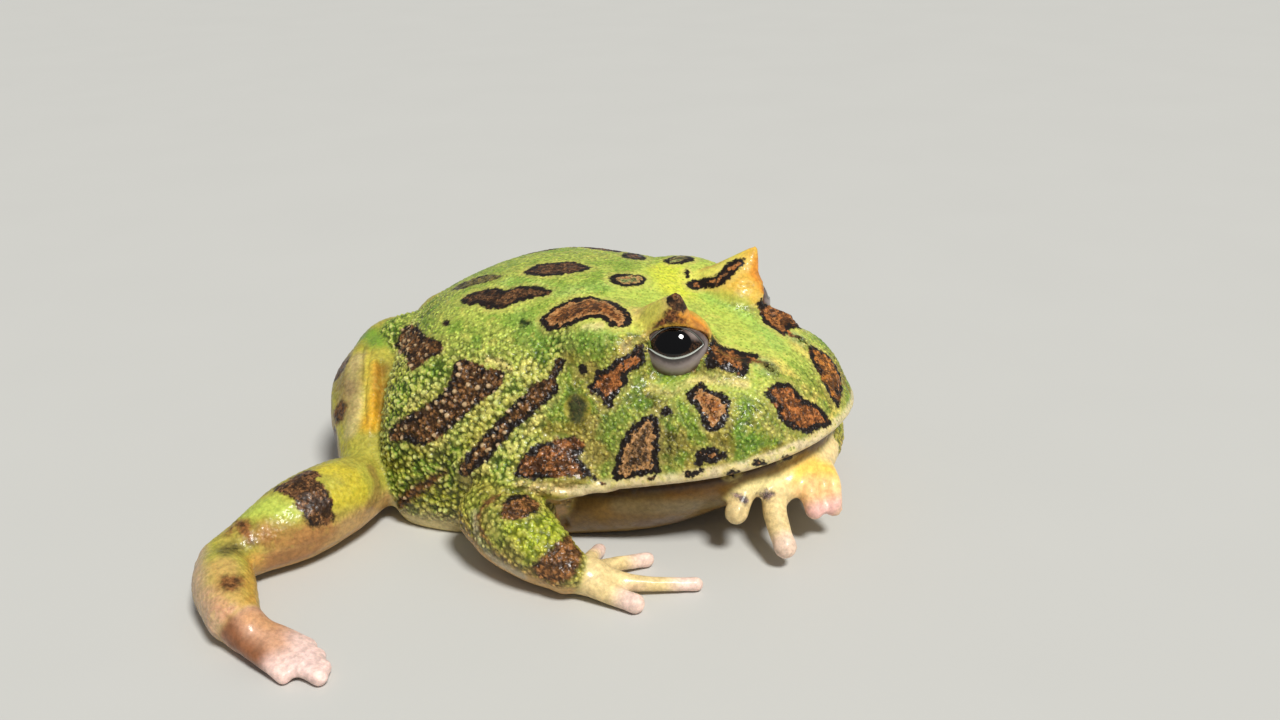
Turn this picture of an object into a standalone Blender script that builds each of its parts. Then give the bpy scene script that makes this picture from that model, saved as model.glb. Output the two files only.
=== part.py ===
"""Argentine horned frog at rest, life size, built as closed solids.

The model is in metres, +Z up.  The snout points to -Y, the animal's right side is at -X, and the
origin is on the floor under the middle of the belly.  Lengths in this file are written in
millimetres and become metres where a shape is made.
"""
import math

import bmesh
import bpy
import numpy as np
from mathutils import Matrix, Vector

MM = 0.001
GAP = 0.3

# Cross sections of head and trunk from the snout to the vent, in millimetres: distance along the
# body, half width, top, height of the widest level, bottom, and how square the upper and the lower
# half of the section are (2 is an ellipse).
TRUNK_SECTIONS = [
    (-58.4, 2.6, 21.6, 19.8, 17.6, 2.2, 2.0),
    (-57.6, 8.2, 23.8, 19.4, 14.8, 2.4, 2.0),
    (-55.5, 14.0, 27.0, 18.8, 11.6, 2.5, 2.0),
    (-51.5, 20.2, 30.6, 18.0, 8.0, 2.6, 2.1),
    (-46.5, 24.8, 33.6, 16.8, 5.0, 2.5, 2.2),
    (-41.0, 27.6, 35.2, 15.6, 2.2, 2.3, 2.4),
    (-35.0, 29.8, 36.8, 14.6, -0.4, 2.15, 2.8),
    (-28.0, 32.0, 39.2, 13.2, -2.0, 2.15, 3.2),
    (-20.0, 34.0, 42.2, 12.8, -3.0, 2.25, 3.5),
    (-11.0, 37.0, 44.2, 12.4, -4.2, 2.25, 3.8),
    (-1.0, 40.2, 44.6, 12.0, -5.4, 2.15, 4.0),
    (9.0, 42.6, 43.8, 11.6, -6.0, 2.15, 4.0),
    (16.5, 42.4, 42.0, 11.6, -6.0, 2.15, 3.8),
    (23.0, 36.6, 39.4, 12.2, -4.8, 2.15, 3.4),
    (29.5, 26.4, 35.8, 13.4, -2.2, 2.1, 2.8),
    (35.5, 17.4, 31.4, 14.6, 1.4, 2.0, 2.4),
    (40.5, 11.0, 26.4, 15.0, 5.2, 2.0, 2.0),
    (44.0, 6.4, 21.6, 15.0, 9.0, 2.0, 2.0),
    (45.8, 2.0, 17.0, 15.0, 12.8, 2.0, 2.0),
]
RING_POINTS = 72
RINGS_PER_SECTION = 5

# Mouth: height of the lower edge of the upper lip along the head, and the radius of the lip rim.
MOUTH_LINE = [(-60.0, 20.0), (-58.8, 19.8), (-53.5, 18.8), (-45.0, 17.2), (-36.0, 15.4),
              (-25.2, 13.2), (-14.0, 11.6)]
LIP_RADIUS = 1.9
JAW_SET_BACK = 1.3
NECK_Y = -14.0

# Eyes: centre, radius and gaze of the right eye.  The left one mirrors it.
EYE_CENTRE = (-13.6, -31.2, 36.0)
EYE_RADIUS = 6.4
EYE_GAZE = (-0.80, -0.47, 0.37)
LID_THICKNESS = 1.1
UPPER_LID_ANGLE = 33.0
LOWER_LID_ANGLE = -14.0
HORN_TIPS = {-1: (-17.4, -33.6, 47.9), 1: (17.9, -32.9, 46.6)}

NOSTRIL = (-7.6, -47.7, 32.6)

# Limb paths: centre points with their radii, in millimetres.
UPPER_ARM_RIGHT = [((-30.0, -13.0, 11.0), 7.4), ((-37.0, -10.4, 9.6), 7.0), ((-42.4, -7.6, 8.6), 6.2)]
FOREARM_RIGHT = [((-42.8, -7.8, 8.8), 6.5), ((-44.8, -13.5, 8.2), 7.2), ((-46.6, -20.5, 6.6), 6.2),
                 ((-47.6, -27.0, 4.8), 4.2)]
HAND_RIGHT = {
    "palm": [((-47.4, -26.6, 4.6), 4.1), ((-45.2, -30.8, 3.3), 3.5)],
    "fingers": [
        [((-45.6, -28.6, 3.4), 2.3), ((-39.6, -26.8, 2.6), 1.6), ((-34.2, -25.4, 1.4), 1.35)],
        [((-44.8, -29.8, 3.3), 2.2), ((-38.6, -31.4, 2.4), 1.5), ((-33.0, -35.0, 1.4), 1.4)],
        [((-45.2, -31.4, 3.3), 2.5), ((-41.6, -38.6, 2.2), 1.5), ((-36.0, -46.8, 1.3), 1.3)],
        [((-46.8, -31.0, 3.3), 2.6), ((-47.0, -36.0, 2.2), 1.9), ((-46.9, -40.4, 1.7), 1.7)],
    ],
}
UPPER_ARM_LEFT = [((29.0, -15.0, 11.0), 7.4), ((33.4, -24.0, 9.6), 7.0), ((31.4, -34.4, 8.8), 6.2)]
FOREARM_LEFT = [((30.4, -36.0, 8.8), 6.4), ((24.4, -43.2, 8.8), 6.4), ((14.6, -49.4, 9.8), 5.2),
                ((6.0, -53.0, 11.0), 4.1)]
HAND_LEFT = {
    "palm": [((5.0, -53.6, 11.2), 3.9), ((-4.0, -54.8, 11.2), 3.7), ((-10.0, -53.2, 11.4), 3.2)],
    "fingers": [
        [((-9.0, -52.6, 11.8), 2.6), ((-17.0, -48.6, 12.6), 2.2), ((-22.0, -48.0, 9.2), 2.1)],
        [((-9.6, -53.6, 11.2), 2.8), ((-15.6, -52.8, 9.6), 2.4), ((-19.4, -55.4, 6.6), 2.2),
         ((-21.8, -57.8, 4.4), 2.0)],
        [((-6.0, -56.0, 11.4), 2.5), ((-10.4, -57.6, 10.2), 2.0), ((-11.4, -59.2, 7.2), 1.7)],
        [((-2.0, -56.4, 11.6), 2.5), ((-6.0, -60.2, 10.4), 2.0), ((-8.0, -61.6, 6.8), 1.7)],
    ],
}
THIGH_RIGHT = [((-10.0, 39.4, 18.0), 11.0), ((-21.8, 36.2, 15.2), 10.6), ((-32.0, 28.9, 10.8), 8.4),
               ((-39.6, 23.8, 7.8), 6.4)]
SHANK_RIGHT = [((-41.6, 23.6, 7.4), 6.2), ((-51.0, 23.4, 8.4), 7.6), ((-61.0, 25.2, 7.8), 7.6),
               ((-70.0, 28.0, 6.2), 5.4), ((-74.6, 29.0, 5.4), 4.8)]
TARSUS_RIGHT = [((-75.8, 28.4, 5.2), 4.9), ((-80.7, 22.6, 5.4), 5.5), ((-85.4, 15.8, 4.6), 4.6)]
FOOT_RIGHT = {
    "palm": [((-85.5, 15.4, 4.4), 4.5), ((-86.4, 11.2, 3.4), 3.8)],
    "fingers": [
        [((-84.8, 11.6, 3.2), 2.1), ((-83.4, 6.4, 2.5), 1.6), ((-82.6, 1.8, 1.4), 1.35)],
        [((-85.4, 10.8, 3.2), 2.2), ((-84.6, 4.4, 2.6), 1.65), ((-84.2, -1.6, 1.4), 1.4)],
        [((-86.4, 10.4, 3.2), 2.3), ((-86.1, 3.0, 2.6), 1.7), ((-86.0, -4.4, 1.4), 1.4)],
        [((-87.4, 10.4, 3.2), 2.3), ((-87.9, 2.6, 2.6), 1.7), ((-88.2, -5.6, 1.4), 1.4)],
        [((-88.2, 11.2, 3.2), 2.1), ((-89.7, 5.2, 2.5), 1.6), ((-90.6, -0.2, 1.4), 1.35)],
    ],
}
THIGH_LEFT = [((10.0, 39.4, 18.0), 11.0), ((22.4, 33.0, 14.6), 10.6), ((34.0, 23.4, 10.6), 8.6),
              ((42.8, 16.0, 8.4), 6.6)]
SHANK_LEFT = [((45.0, 16.6, 7.4), 6.2), ((47.4, 25.6, 7.6), 7.2), ((45.4, 35.6, 7.2), 6.6),
              ((41.6, 45.4, 5.8), 5.0)]
TARSUS_LEFT = [((43.4, 47.6, 5.2), 4.8), ((51.0, 43.4, 5.0), 4.8), ((57.6, 37.4, 4.6), 4.4)]
FOOT_LEFT = {
    "palm": [((58.0, 36.8, 4.4), 4.3), ((60.8, 33.0, 3.4), 3.8)],
    "fingers": [
        [((59.6, 32.4, 3.2), 2.1), ((58.6, 26.8, 2.5), 1.6), ((57.6, 22.2, 1.4), 1.35)],
        [((60.8, 31.8, 3.2), 2.2), ((61.6, 25.0, 2.6), 1.65), ((62.0, 18.6, 1.4), 1.4)],
        [((61.8, 31.8, 3.2), 2.3), ((65.0, 24.8, 2.6), 1.7), ((67.6, 17.4, 1.4), 1.4)],
        [((62.6, 32.2, 3.2), 2.3), ((69.0, 26.2, 2.6), 1.7), ((75.2, 19.6, 1.4), 1.4)],
        [((62.8, 33.6, 3.2), 2.1), ((69.8, 31.6, 2.5), 1.6), ((75.8, 29.8, 1.4), 1.35)],
    ],
}

# Looks: base colour in linear values, roughness and metallic, per material.
LOOKS = {
    "green_skin": ((0.16, 0.32, 0.05), 0.38, 0.0),
    "horn_skin": ((0.55, 0.24, 0.06), 0.42, 0.0),
    "pale_skin": ((0.62, 0.50, 0.26), 0.40, 0.0),
    "eye_dark": ((0.012, 0.010, 0.008), 0.08, 0.0),
}

FROG = "argentine_horned_frog"


def start_clean():
    """Empty the scene and make the two collections."""
    for item in list(bpy.data.objects):
        bpy.data.objects.remove(item, do_unlink=True)
    parts = bpy.data.collections.new(FROG)
    helpers = bpy.data.collections.new("cutters")
    bpy.context.scene.collection.children.link(parts)
    bpy.context.scene.collection.children.link(helpers)
    return parts, helpers


def material(name):
    """One Principled material of the named look."""
    found = bpy.data.materials.get(name)
    if found:
        return found
    colour, rough, metallic = LOOKS[name]
    made = bpy.data.materials.new(name)
    made.use_nodes = True
    shader = made.node_tree.nodes["Principled BSDF"]
    shader.inputs["Base Color"].default_value = (*colour, 1.0)
    shader.inputs["Roughness"].default_value = rough
    shader.inputs["Metallic"].default_value = metallic
    made.diffuse_color = (*colour, 1.0)
    return made


def take_active(name):
    """Name the object an operator has just made and move it to the cutters."""
    made = bpy.context.active_object
    made.name = name
    for home in list(made.users_collection):
        home.objects.unlink(made)
    HELPERS.objects.link(made)
    made.hide_render = True
    made.display_type = "WIRE"
    return made


def add_object(name, mesh):
    """An object among the cutters for a mesh made here."""
    made = bpy.data.objects.new(name, mesh)
    HELPERS.objects.link(made)
    made.hide_render = True
    made.display_type = "WIRE"
    return made


def evaluated_mesh(item):
    """The mesh that an object's modifiers give, in world space."""
    bpy.context.view_layer.update()
    graph = bpy.context.evaluated_depsgraph_get()
    mesh = bpy.data.meshes.new_from_object(item.evaluated_get(graph))
    mesh.transform(item.matrix_world)
    return mesh


def bake(item):
    """Replace an object's mesh by its evaluated one and drop the modifiers."""
    mesh = evaluated_mesh(item)
    item.modifiers.clear()
    item.matrix_world = Matrix.Identity(4)
    item.data = mesh
    return item


def discard(items):
    """Remove helper objects that are used up."""
    for item in items:
        bpy.data.objects.remove(item, do_unlink=True)


def spline_values(rows, steps):
    """Smooth values between table rows (Catmull-Rom through every row)."""
    table = np.array(rows, dtype=float)
    padded = np.vstack([2 * table[0] - table[1], table, 2 * table[-1] - table[-2]])
    values = []
    for index in range(len(table) - 1):
        p0, p1, p2, p3 = padded[index:index + 4]
        for step in range(steps):
            t = step / steps
            values.append(0.5 * (2 * p1 + (p2 - p0) * t + (2 * p0 - 5 * p1 + 4 * p2 - p3) * t ** 2
                                 + (3 * p1 - p0 - 3 * p2 + p3) * t ** 3))
    values.append(table[-1])
    return np.array(values)


def trunk_ring(row):
    """Points of one cross section: two half ellipses of different height and squareness."""
    y, half, top, level, bottom, upper, lower = row
    points = []
    for number in range(RING_POINTS):
        angle = 2 * math.pi * number / RING_POINTS
        cosine = math.cos(angle)
        sine = math.sin(angle)
        power = upper if sine >= 0 else lower
        height = top - level if sine >= 0 else level - bottom
        x = half * math.copysign(abs(cosine) ** (2 / power), cosine)
        z = level + height * math.copysign(abs(sine) ** (2 / power), sine)
        points.append(Vector((x, y, z)) * MM)
    return points


def loft(name, rings):
    """Skin unlike rings into one closed solid."""
    work = bmesh.new()
    loops = [[work.verts.new(point) for point in ring] for ring in rings]
    count = len(loops[0])
    for first, second in zip(loops, loops[1:]):
        for number in range(count):
            after = (number + 1) % count
            work.faces.new((first[number], second[number], second[after], first[after]))
    work.faces.new(loops[0])
    work.faces.new(list(reversed(loops[-1])))
    bmesh.ops.recalc_face_normals(work, faces=work.faces)
    mesh = bpy.data.meshes.new(name)
    work.to_mesh(mesh)
    work.free()
    return add_object(name, mesh)


def ball(name, centre, radii, turn=(0.0, 0.0, 0.0), segments=32):
    """An ellipsoid from a sphere primitive."""
    bpy.ops.mesh.primitive_uv_sphere_add(segments=segments, ring_count=segments // 2, radius=1.0)
    made = take_active(name)
    made.location = Vector(centre) * MM
    made.rotation_euler = [math.radians(value) for value in turn]
    made.scale = Vector(radii) * MM
    return bake(made)


def tube(name, path, steps=5):
    """A round tapered limb: a curve with a bevel and a radius at each point, ends rounded off."""
    rows = [(*point, radius) for point, radius in path]
    values = spline_values(rows, steps)
    curve = bpy.data.curves.new(name, "CURVE")
    curve.dimensions = "3D"
    curve.bevel_depth = MM
    curve.bevel_resolution = 4
    curve.use_fill_caps = True
    line = curve.splines.new("POLY")
    line.points.add(len(values) - 1)
    for point, row in zip(line.points, values):
        point.co = (row[0] * MM, row[1] * MM, row[2] * MM, 1.0)
        point.radius = row[3]
    carrier = add_object(name + "_path", curve)
    mesh = evaluated_mesh(carrier)
    discard([carrier])
    work = bmesh.new()
    work.from_mesh(mesh)
    bmesh.ops.remove_doubles(work, verts=work.verts, dist=0.000001)
    bmesh.ops.recalc_face_normals(work, faces=work.faces)
    work.to_mesh(mesh)
    work.free()
    made = add_object(name, mesh)
    ends = [ball(name + "_end", row[:3], (row[3],) * 3, segments=20) for row in (values[0], values[-1])]
    return [made, *ends]


def clay(name, shapes, voxel, smoothing, faces):
    """Run overlapping shapes together into one soft closed skin of about so many triangles."""
    work = bmesh.new()
    for shape in shapes:
        work.from_mesh(shape.data)
    mesh = bpy.data.meshes.new(name)
    work.to_mesh(mesh)
    work.free()
    discard(shapes)
    made = add_object(name, mesh)
    skin = made.modifiers.new("Skin", "REMESH")
    skin.mode = "VOXEL"
    skin.voxel_size = voxel * MM
    soft = made.modifiers.new("Soft", "SMOOTH")
    soft.factor = 0.5
    soft.iterations = smoothing
    bake(made)
    thin_out(made, faces)
    return keep_largest(made)


def thin_out(item, faces):
    """Reduce a skin to about so many triangles."""
    triangles = sum(len(face.vertices) - 2 for face in item.data.polygons)
    if triangles > faces:
        fewer = item.modifiers.new("Fewer", "DECIMATE")
        fewer.ratio = faces / triangles
        bake(item)
    return item


def keep_largest(item):
    """Drop crumbs that a cut has left, keeping the largest closed body."""
    work = bmesh.new()
    work.from_mesh(item.data)
    work.faces.ensure_lookup_table()
    seen = set()
    groups = []
    for start in work.faces:
        if start.index in seen:
            continue
        stack = [start]
        seen.add(start.index)
        group = []
        while stack:
            face = stack.pop()
            group.append(face)
            for edge in face.edges:
                for other in edge.link_faces:
                    if other.index not in seen:
                        seen.add(other.index)
                        stack.append(other)
        groups.append(group)
    groups.sort(key=lambda group: sum(face.calc_area() for face in group), reverse=True)
    for group in groups[1:]:
        bmesh.ops.delete(work, geom=group, context="FACES")
    loose = [vertex for vertex in work.verts if not vertex.link_faces]
    bmesh.ops.delete(work, geom=loose, context="VERTS")
    work.to_mesh(item.data)
    work.free()
    return item


def grown(item, amount):
    """A copy of a solid with its surface moved out by some millimetres."""
    copy = add_object(item.name + "_grown", item.data.copy())
    swell = copy.modifiers.new("Swell", "DISPLACE")
    swell.strength = amount * MM
    swell.mid_level = 0.0
    return bake(copy)


def volume_of(mesh):
    """Volume inside a mesh, in cubic metres."""
    work = bmesh.new()
    work.from_mesh(mesh)
    volume = work.calc_volume()
    work.free()
    return volume


def combine(item, cutter, operation):
    """Apply one Boolean.  The manifold solver steps in where the exact one returns nothing."""
    before = volume_of(item.data)
    step = item.modifiers.new("Cut", "BOOLEAN")
    step.operation = operation
    step.solver = "EXACT"
    step.object = cutter
    mesh = evaluated_mesh(item)
    after = volume_of(mesh)
    if after < 0.02 * before or (operation == "DIFFERENCE" and after > 1.001 * before):
        step.solver = "MANIFOLD"
    return bake(item)


def carve(item, neighbours):
    """Cut a solid back to a small gap from each neighbour."""
    for neighbour in neighbours:
        cutter = grown(neighbour, GAP)
        combine(item, cutter, "DIFFERENCE")
        discard([cutter])
    return keep_largest(item)


def block(name, low, high):
    """A box between two corners."""
    bpy.ops.mesh.primitive_cube_add(size=1.0)
    made = take_active(name)
    low = Vector(low) * MM
    high = Vector(high) * MM
    made.location = (low + high) / 2
    made.scale = high - low
    return bake(made)


def side_prism(name, outline, half):
    """A solid with a side-view outline (y, z), as wide as the whole animal."""
    work = bmesh.new()
    corners = [work.verts.new(Vector((-half, y, z)) * MM) for y, z in outline]
    face = work.faces.new(corners)
    grown_part = bmesh.ops.extrude_face_region(work, geom=[face])
    moved = [one for one in grown_part["geom"] if isinstance(one, bmesh.types.BMVert)]
    bmesh.ops.translate(work, verts=moved, vec=Vector((2 * half * MM, 0.0, 0.0)))
    bmesh.ops.recalc_face_normals(work, faces=work.faces)
    mesh = bpy.data.meshes.new(name)
    work.to_mesh(mesh)
    work.free()
    return add_object(name, mesh)


def floor_cut(item):
    """Give a solid its small flat on the floor."""
    floor = block("floor_cutter", (-140, -100, -12), (120, 100, 0))
    combine(item, floor, "DIFFERENCE")
    discard([floor])
    return item


def finish(item, name, look):
    """Turn a working solid into a part of the animal, with its lowest points right on the floor."""
    keep_largest(item)
    for vertex in item.data.vertices:
        vertex.co.z = max(vertex.co.z, 0.0)
    for home in list(item.users_collection):
        home.objects.unlink(item)
    PARTS.objects.link(item)
    item.name = name
    item.data.name = name
    item.hide_render = False
    item.display_type = "TEXTURED"
    item.data.materials.clear()
    item.data.materials.append(material(look))
    item.data.shade_smooth()
    item.data.set_sharp_from_angle(angle=math.radians(50))
    item.parent = STAND
    return item


def mirrored(point):
    return (-point[0], point[1], point[2])


def eye_axes(side):
    """Gaze, sideways and up directions of one eye (side is -1 for the right, 1 for the left)."""
    gaze = Vector((-side * EYE_GAZE[0], EYE_GAZE[1], EYE_GAZE[2])).normalized()
    across = gaze.cross(Vector((0, 0, 1))).normalized()
    up = across.cross(gaze).normalized()
    return gaze, across, up


def eye_point(side):
    return Vector((-side * EYE_CENTRE[0], EYE_CENTRE[1], EYE_CENTRE[2]))


def lid_half_space(name, side, angle, above):
    """A block whose one face is a plane through the eye, tipped up from the gaze."""
    gaze, across, up = eye_axes(side)
    lean = math.radians(angle)
    along = gaze * math.cos(lean) + up * math.sin(lean)
    normal = up * math.cos(lean) - gaze * math.sin(lean)
    if not above:
        normal = -normal
    centre = eye_point(side) + normal * 10
    turn = Matrix((along, across, normal)).transposed()
    if turn.determinant() < 0:
        turn = Matrix((along, -across, normal)).transposed()
    bpy.ops.mesh.primitive_cube_add(size=1.0)
    made = take_active(name)
    made.matrix_world = Matrix.Translation(centre * MM) @ turn.to_4x4() @ Matrix.Diagonal(
        (40 * MM, 40 * MM, 20 * MM, 1.0))
    return bake(made)


def lid_horn(side):
    """Upper eyelid drawn up into the soft pointed horn."""
    centre = eye_point(side)
    lid = ball("lid", centre, (EYE_RADIUS + LID_THICKNESS,) * 3, segments=40)
    tip = Vector(HORN_TIPS[side])
    foot = centre + Vector((side * -0.4, 1.6, 2.2))
    horn = tube("horn", [(tuple(foot), 5.4), (tuple(foot.lerp(tip, 0.36)), 4.1),
                         (tuple(foot.lerp(tip, 0.7)), 2.3), (tuple(tip), 0.7)])
    for piece in horn:
        piece.data.transform(Matrix.Translation(tip * MM) @ Matrix.Diagonal((1.0, 1.4, 1.0, 1.0))
                             @ Matrix.Translation(-tip * MM))
    made = clay("lid_horn_clay", [lid, *horn], 0.35, 5, 700)
    upper = lid_half_space("lid_cutter", side, UPPER_LID_ANGLE, True)
    combine(made, upper, "INTERSECT")
    level = block("lid_level", (-40, -60, EYE_CENTRE[2] + 1.5), (40, 0, 60))
    combine(made, level, "INTERSECT")
    discard([upper, level])
    return keep_largest(made)


def trunk_clay():
    """Head and body in one skin, before the eyes, the mouth and the neck are cut."""
    sections = spline_values(TRUNK_SECTIONS, RINGS_PER_SECTION)
    shapes = [loft("trunk", [trunk_ring(row) for row in sections])]
    lip_path = []
    for row in sections:
        if row[0] < -23.0:
            height = np.interp(row[0], *zip(*MOUTH_LINE)) + LIP_RADIUS * 0.9
            lip_path.append((row[1] - 0.9, row[0] + 0.6, height))
    for side in (-1, 1):
        path = [((side * x, y, z), LIP_RADIUS) for x, y, z in lip_path[::2]]
        path[0] = ((0.0, lip_path[0][1], lip_path[0][2]), LIP_RADIUS)
        shapes += tube("lip", path, steps=2)
        centre = eye_point(side)
        mound = centre + Vector((-side * 2.4, 1.2, -2.8))
        shapes.append(ball("eye_mound", mound, (7.6, 9.6, 7.2)))
        shapes.append(ball("skull_corner", (side * 15.2, -17.5, 33.6), (12.0, 15.0, 9.6)))
        shapes.append(lower_lid(side))
        nostril = Vector((-side * NOSTRIL[0], NOSTRIL[1], NOSTRIL[2]))
        shapes.append(ball("nostril_mound", nostril + Vector((0, 1.3, -3.4)), (3.4, 3.8, 3.4)))
        shapes += tube("snout_ridge", [
            ((side * 15.4, -38.0, 35.2), 2.6), ((side * 11.6, -43.4, 32.6), 2.2),
            ((side * 7.4, -48.0, 29.2), 1.8)])
        shapes += tube("ear_ridge", [
            ((side * 19.0, -26.5, 35.6), 3.2), ((side * 24.4, -18.0, 33.2), 2.8),
            ((side * 30.6, -7.0, 29.4), 1.8)])
        shapes.append(ball("shoulder", (side * 29.0, -7.0, 14.0), (12.2, 20.0, 11.0)))
        shapes += tube("shoulder_fold", [
            ((side * 38.6, -1.0, 16.0), 3.6), ((side * 38.4, -12.0, 14.8), 3.4),
            ((side * 34.0, -21.5, 13.0), 2.6), ((side * 30.0, -26.5, 11.8), 1.7)])
        shapes.append(ball("hip", (side * 10.2, 31.0, 19.4), (11.2, 16.0, 11.8)))
    return clay("trunk_clay", shapes, 0.8, 12, 6000)


def mouth_outline(offset, above):
    """Side-view outline of everything above or below the mouth, in front of the neck."""
    line = [(y, z + offset) for y, z in MOUTH_LINE[:-1]]
    end_y = NECK_Y - GAP / 2
    line.append((end_y, MOUTH_LINE[-1][1] + offset))
    far = 90.0 if above else -30.0
    return [(-60.0, line[0][1])] + line[1:] + [(end_y, far), (-60.0 if above else -60.0, far)]


def lip_shelf():
    """Lower-jaw limit: the trunk outline set back, so that the upper lip overhangs it."""
    sections = [row for row in spline_values(TRUNK_SECTIONS, RINGS_PER_SECTION) if row[0] < -4.0]
    rings = []
    for row in sections:
        slim = row.copy()
        slim[0] = row[0] + JAW_SET_BACK * 1.3
        slim[1] = max(row[1] - JAW_SET_BACK * min(1.0, max(0.0, (-19.0 - row[0]) / 8.0)), 0.6)
        rings.append(trunk_ring(slim))
    return loft("jaw_limit", rings)


def build_trunk():
    """Head, lower jaw and torso, with sockets, nostrils and the line of the mouth."""
    whole = floor_cut(trunk_clay())
    torso = add_object("torso", whole.data.copy())
    rear = block("rear_cutter", (-80, NECK_Y + GAP / 2, -20), (80, 90, 90))
    combine(torso, rear, "INTERSECT")
    head = add_object("head", whole.data.copy())
    upper = side_prism("upper_cutter", mouth_outline(GAP / 2, True), 80)
    combine(head, upper, "INTERSECT")
    jaw = add_object("jaw", whole.data.copy())
    lower = side_prism("lower_cutter", mouth_outline(-GAP / 2, False), 80)
    combine(jaw, lower, "INTERSECT")
    limit = lip_shelf()
    combine(jaw, limit, "INTERSECT")
    discard([rear, upper, lower, limit, whole])
    for side in (-1, 1):
        hole = ball("nostril_cutter", (-side * NOSTRIL[0], NOSTRIL[1], NOSTRIL[2]), (1.5, 1.1, 1.2),
                    (30, 0, side * -35), segments=16)
        combine(head, hole, "DIFFERENCE")
        discard([hole])
    return head, jaw, torso


def lower_lid(side):
    """Fleshy lower lid that covers the lower third of the eyeball."""
    lid = ball("lower_lid", eye_point(side), (EYE_RADIUS + LID_THICKNESS,) * 3, segments=40)
    below = lid_half_space("lower_lid_cutter", side, LOWER_LID_ANGLE, False)
    combine(lid, below, "INTERSECT")
    discard([below])
    return lid


def is_closed(mesh):
    """Whether every edge of a mesh joins exactly two faces."""
    work = bmesh.new()
    work.from_mesh(mesh)
    closed = all(len(edge.link_faces) == 2 for edge in work.edges)
    work.free()
    return closed


def trim(item, faces):
    """Carved solid with the leftover triangles of its neighbours thinned out, kept closed."""
    original = item.data.copy()
    for allowance in (1.0, 0.93, 1.07, 0.86, 1.14, 1.25, 1.4):
        keep_largest(thin_out(item, int(faces * allowance)))
        if is_closed(item.data):
            return item
        item.data = original.copy()
    return item


def limb(name, path, faces, extra=()):
    """One limb piece as soft tapered flesh."""
    shapes = tube(name, path) + list(extra)
    return floor_cut(clay(name + "_clay", shapes, 0.7, 4, faces))


def web_between(first, second, reach):
    """Points for the thin skin between two toes, out to a fraction of their length."""
    rows = []
    for share in np.linspace(0.0, reach, 4):
        a = np.array([np.interp(share, np.linspace(0, 1, len(first)), [p[0][k] for p in first])
                      for k in range(3)])
        b = np.array([np.interp(share, np.linspace(0, 1, len(second)), [p[0][k] for p in second])
                      for k in range(3)])
        middle = (a + b) / 2
        rows.append((tuple(middle), float(np.linalg.norm(a - b)) / 2))
    return rows


def paw(name, shape, faces, web=0.0, extra=()):
    """Palm or sole with its digits, and a web between toes where there is one."""
    shapes = tube(name, shape["palm"])
    for number, digit in enumerate(shape["fingers"]):
        shapes += tube(name + "_digit%d" % number, digit)
        tip = digit[-1]
        shapes.append(ball(name + "_tip", tip[0], (tip[1] * 1.12,) * 3, segments=20))
    if web:
        for first, second in zip(shape["fingers"], shape["fingers"][1:]):
            for centre, half in web_between(first, second, web):
                flat = (half + 0.6, half + 0.6, 1.1)
                shapes.append(ball(name + "_web", (centre[0], centre[1], centre[2] - 0.3), flat, segments=20))
    shapes += list(extra)
    return floor_cut(clay(name + "_clay", shapes, 0.5, 3, faces))


PARTS, HELPERS = start_clean()
STAND = bpy.data.objects.new("stand", None)
PARTS.objects.link(STAND)

eyes = {}
horns = {}
for side, word in ((-1, "right"), (1, "left")):
    eyes[word] = ball("eye", eye_point(side), (EYE_RADIUS,) * 3, segments=20)
    horns[word] = carve(lid_horn(side), [eyes[word]])

head, jaw, torso = build_trunk()
for side, word in ((-1, "right"), (1, "left")):
    carve(head, [eyes[word], horns[word]])

thigh = {"right": limb("thigh", THIGH_RIGHT, 640), "left": limb("thigh", THIGH_LEFT, 640)}
shank = {"right": limb("shank", SHANK_RIGHT, 560), "left": limb("shank", SHANK_LEFT, 560)}
tarsus = {"right": limb("tarsus", TARSUS_RIGHT, 420), "left": limb("tarsus", TARSUS_LEFT, 420)}
spade = {
    "right": [ball("spade", (-84.4, 10.4, 2.4), (1.7, 2.4, 1.9), (0, 0, -20), segments=16)],
    "left": [ball("spade", (57.6, 32.4, 2.4), (1.7, 2.4, 1.9), (0, 0, 20), segments=16)],
}
foot = {"right": paw("foot", FOOT_RIGHT, 1000, 0.55, spade["right"]),
        "left": paw("foot", FOOT_LEFT, 1000, 0.55, spade["left"])}
upper_arm = {"right": limb("upper_arm", UPPER_ARM_RIGHT, 420), "left": limb("upper_arm", UPPER_ARM_LEFT, 420)}
forearm = {"right": limb("forearm", FOREARM_RIGHT, 400), "left": limb("forearm", FOREARM_LEFT, 400)}
hand = {"right": paw("hand", HAND_RIGHT, 900), "left": paw("hand", HAND_LEFT, 900)}

for word in ("right", "left"):
    carve(thigh[word], [torso])
    carve(shank[word], [thigh[word], torso])
    carve(tarsus[word], [shank[word], torso])
    carve(foot[word], [tarsus[word], shank[word]])
    carve(upper_arm[word], [torso, head, jaw])
    carve(forearm[word], [upper_arm[word], torso, head, jaw])
    carve(hand[word], [forearm[word], jaw, head])

BUDGET = [(head, 2700), (jaw, 700), (torso, 1900), (upper_arm, 300), (forearm, 380), (hand, 760),
          (thigh, 540), (shank, 480), (tarsus, 340), (foot, 780), (horns, 330)]
for group, faces in BUDGET:
    for item in (group.values() if isinstance(group, dict) else (group,)):
        trim(item, faces)

finish(head, "head", "green_skin")
finish(jaw, "lower_jaw", "pale_skin")
finish(torso, "torso", "green_skin")
for word in ("right", "left"):
    finish(eyes[word], "eye_" + word, "eye_dark")
    finish(horns[word], "eyelid_horn_" + word, "horn_skin")
    finish(upper_arm[word], "upper_arm_" + word, "green_skin")
    finish(forearm[word], "forearm_" + word, "green_skin")
    finish(hand[word], "hand_" + word, "pale_skin")
    finish(thigh[word], "thigh_" + word, "green_skin")
    finish(shank[word], "shank_" + word, "green_skin")
    finish(tarsus[word], "tarsus_" + word, "pale_skin")
    finish(foot[word], "foot_" + word, "pale_skin")
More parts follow.
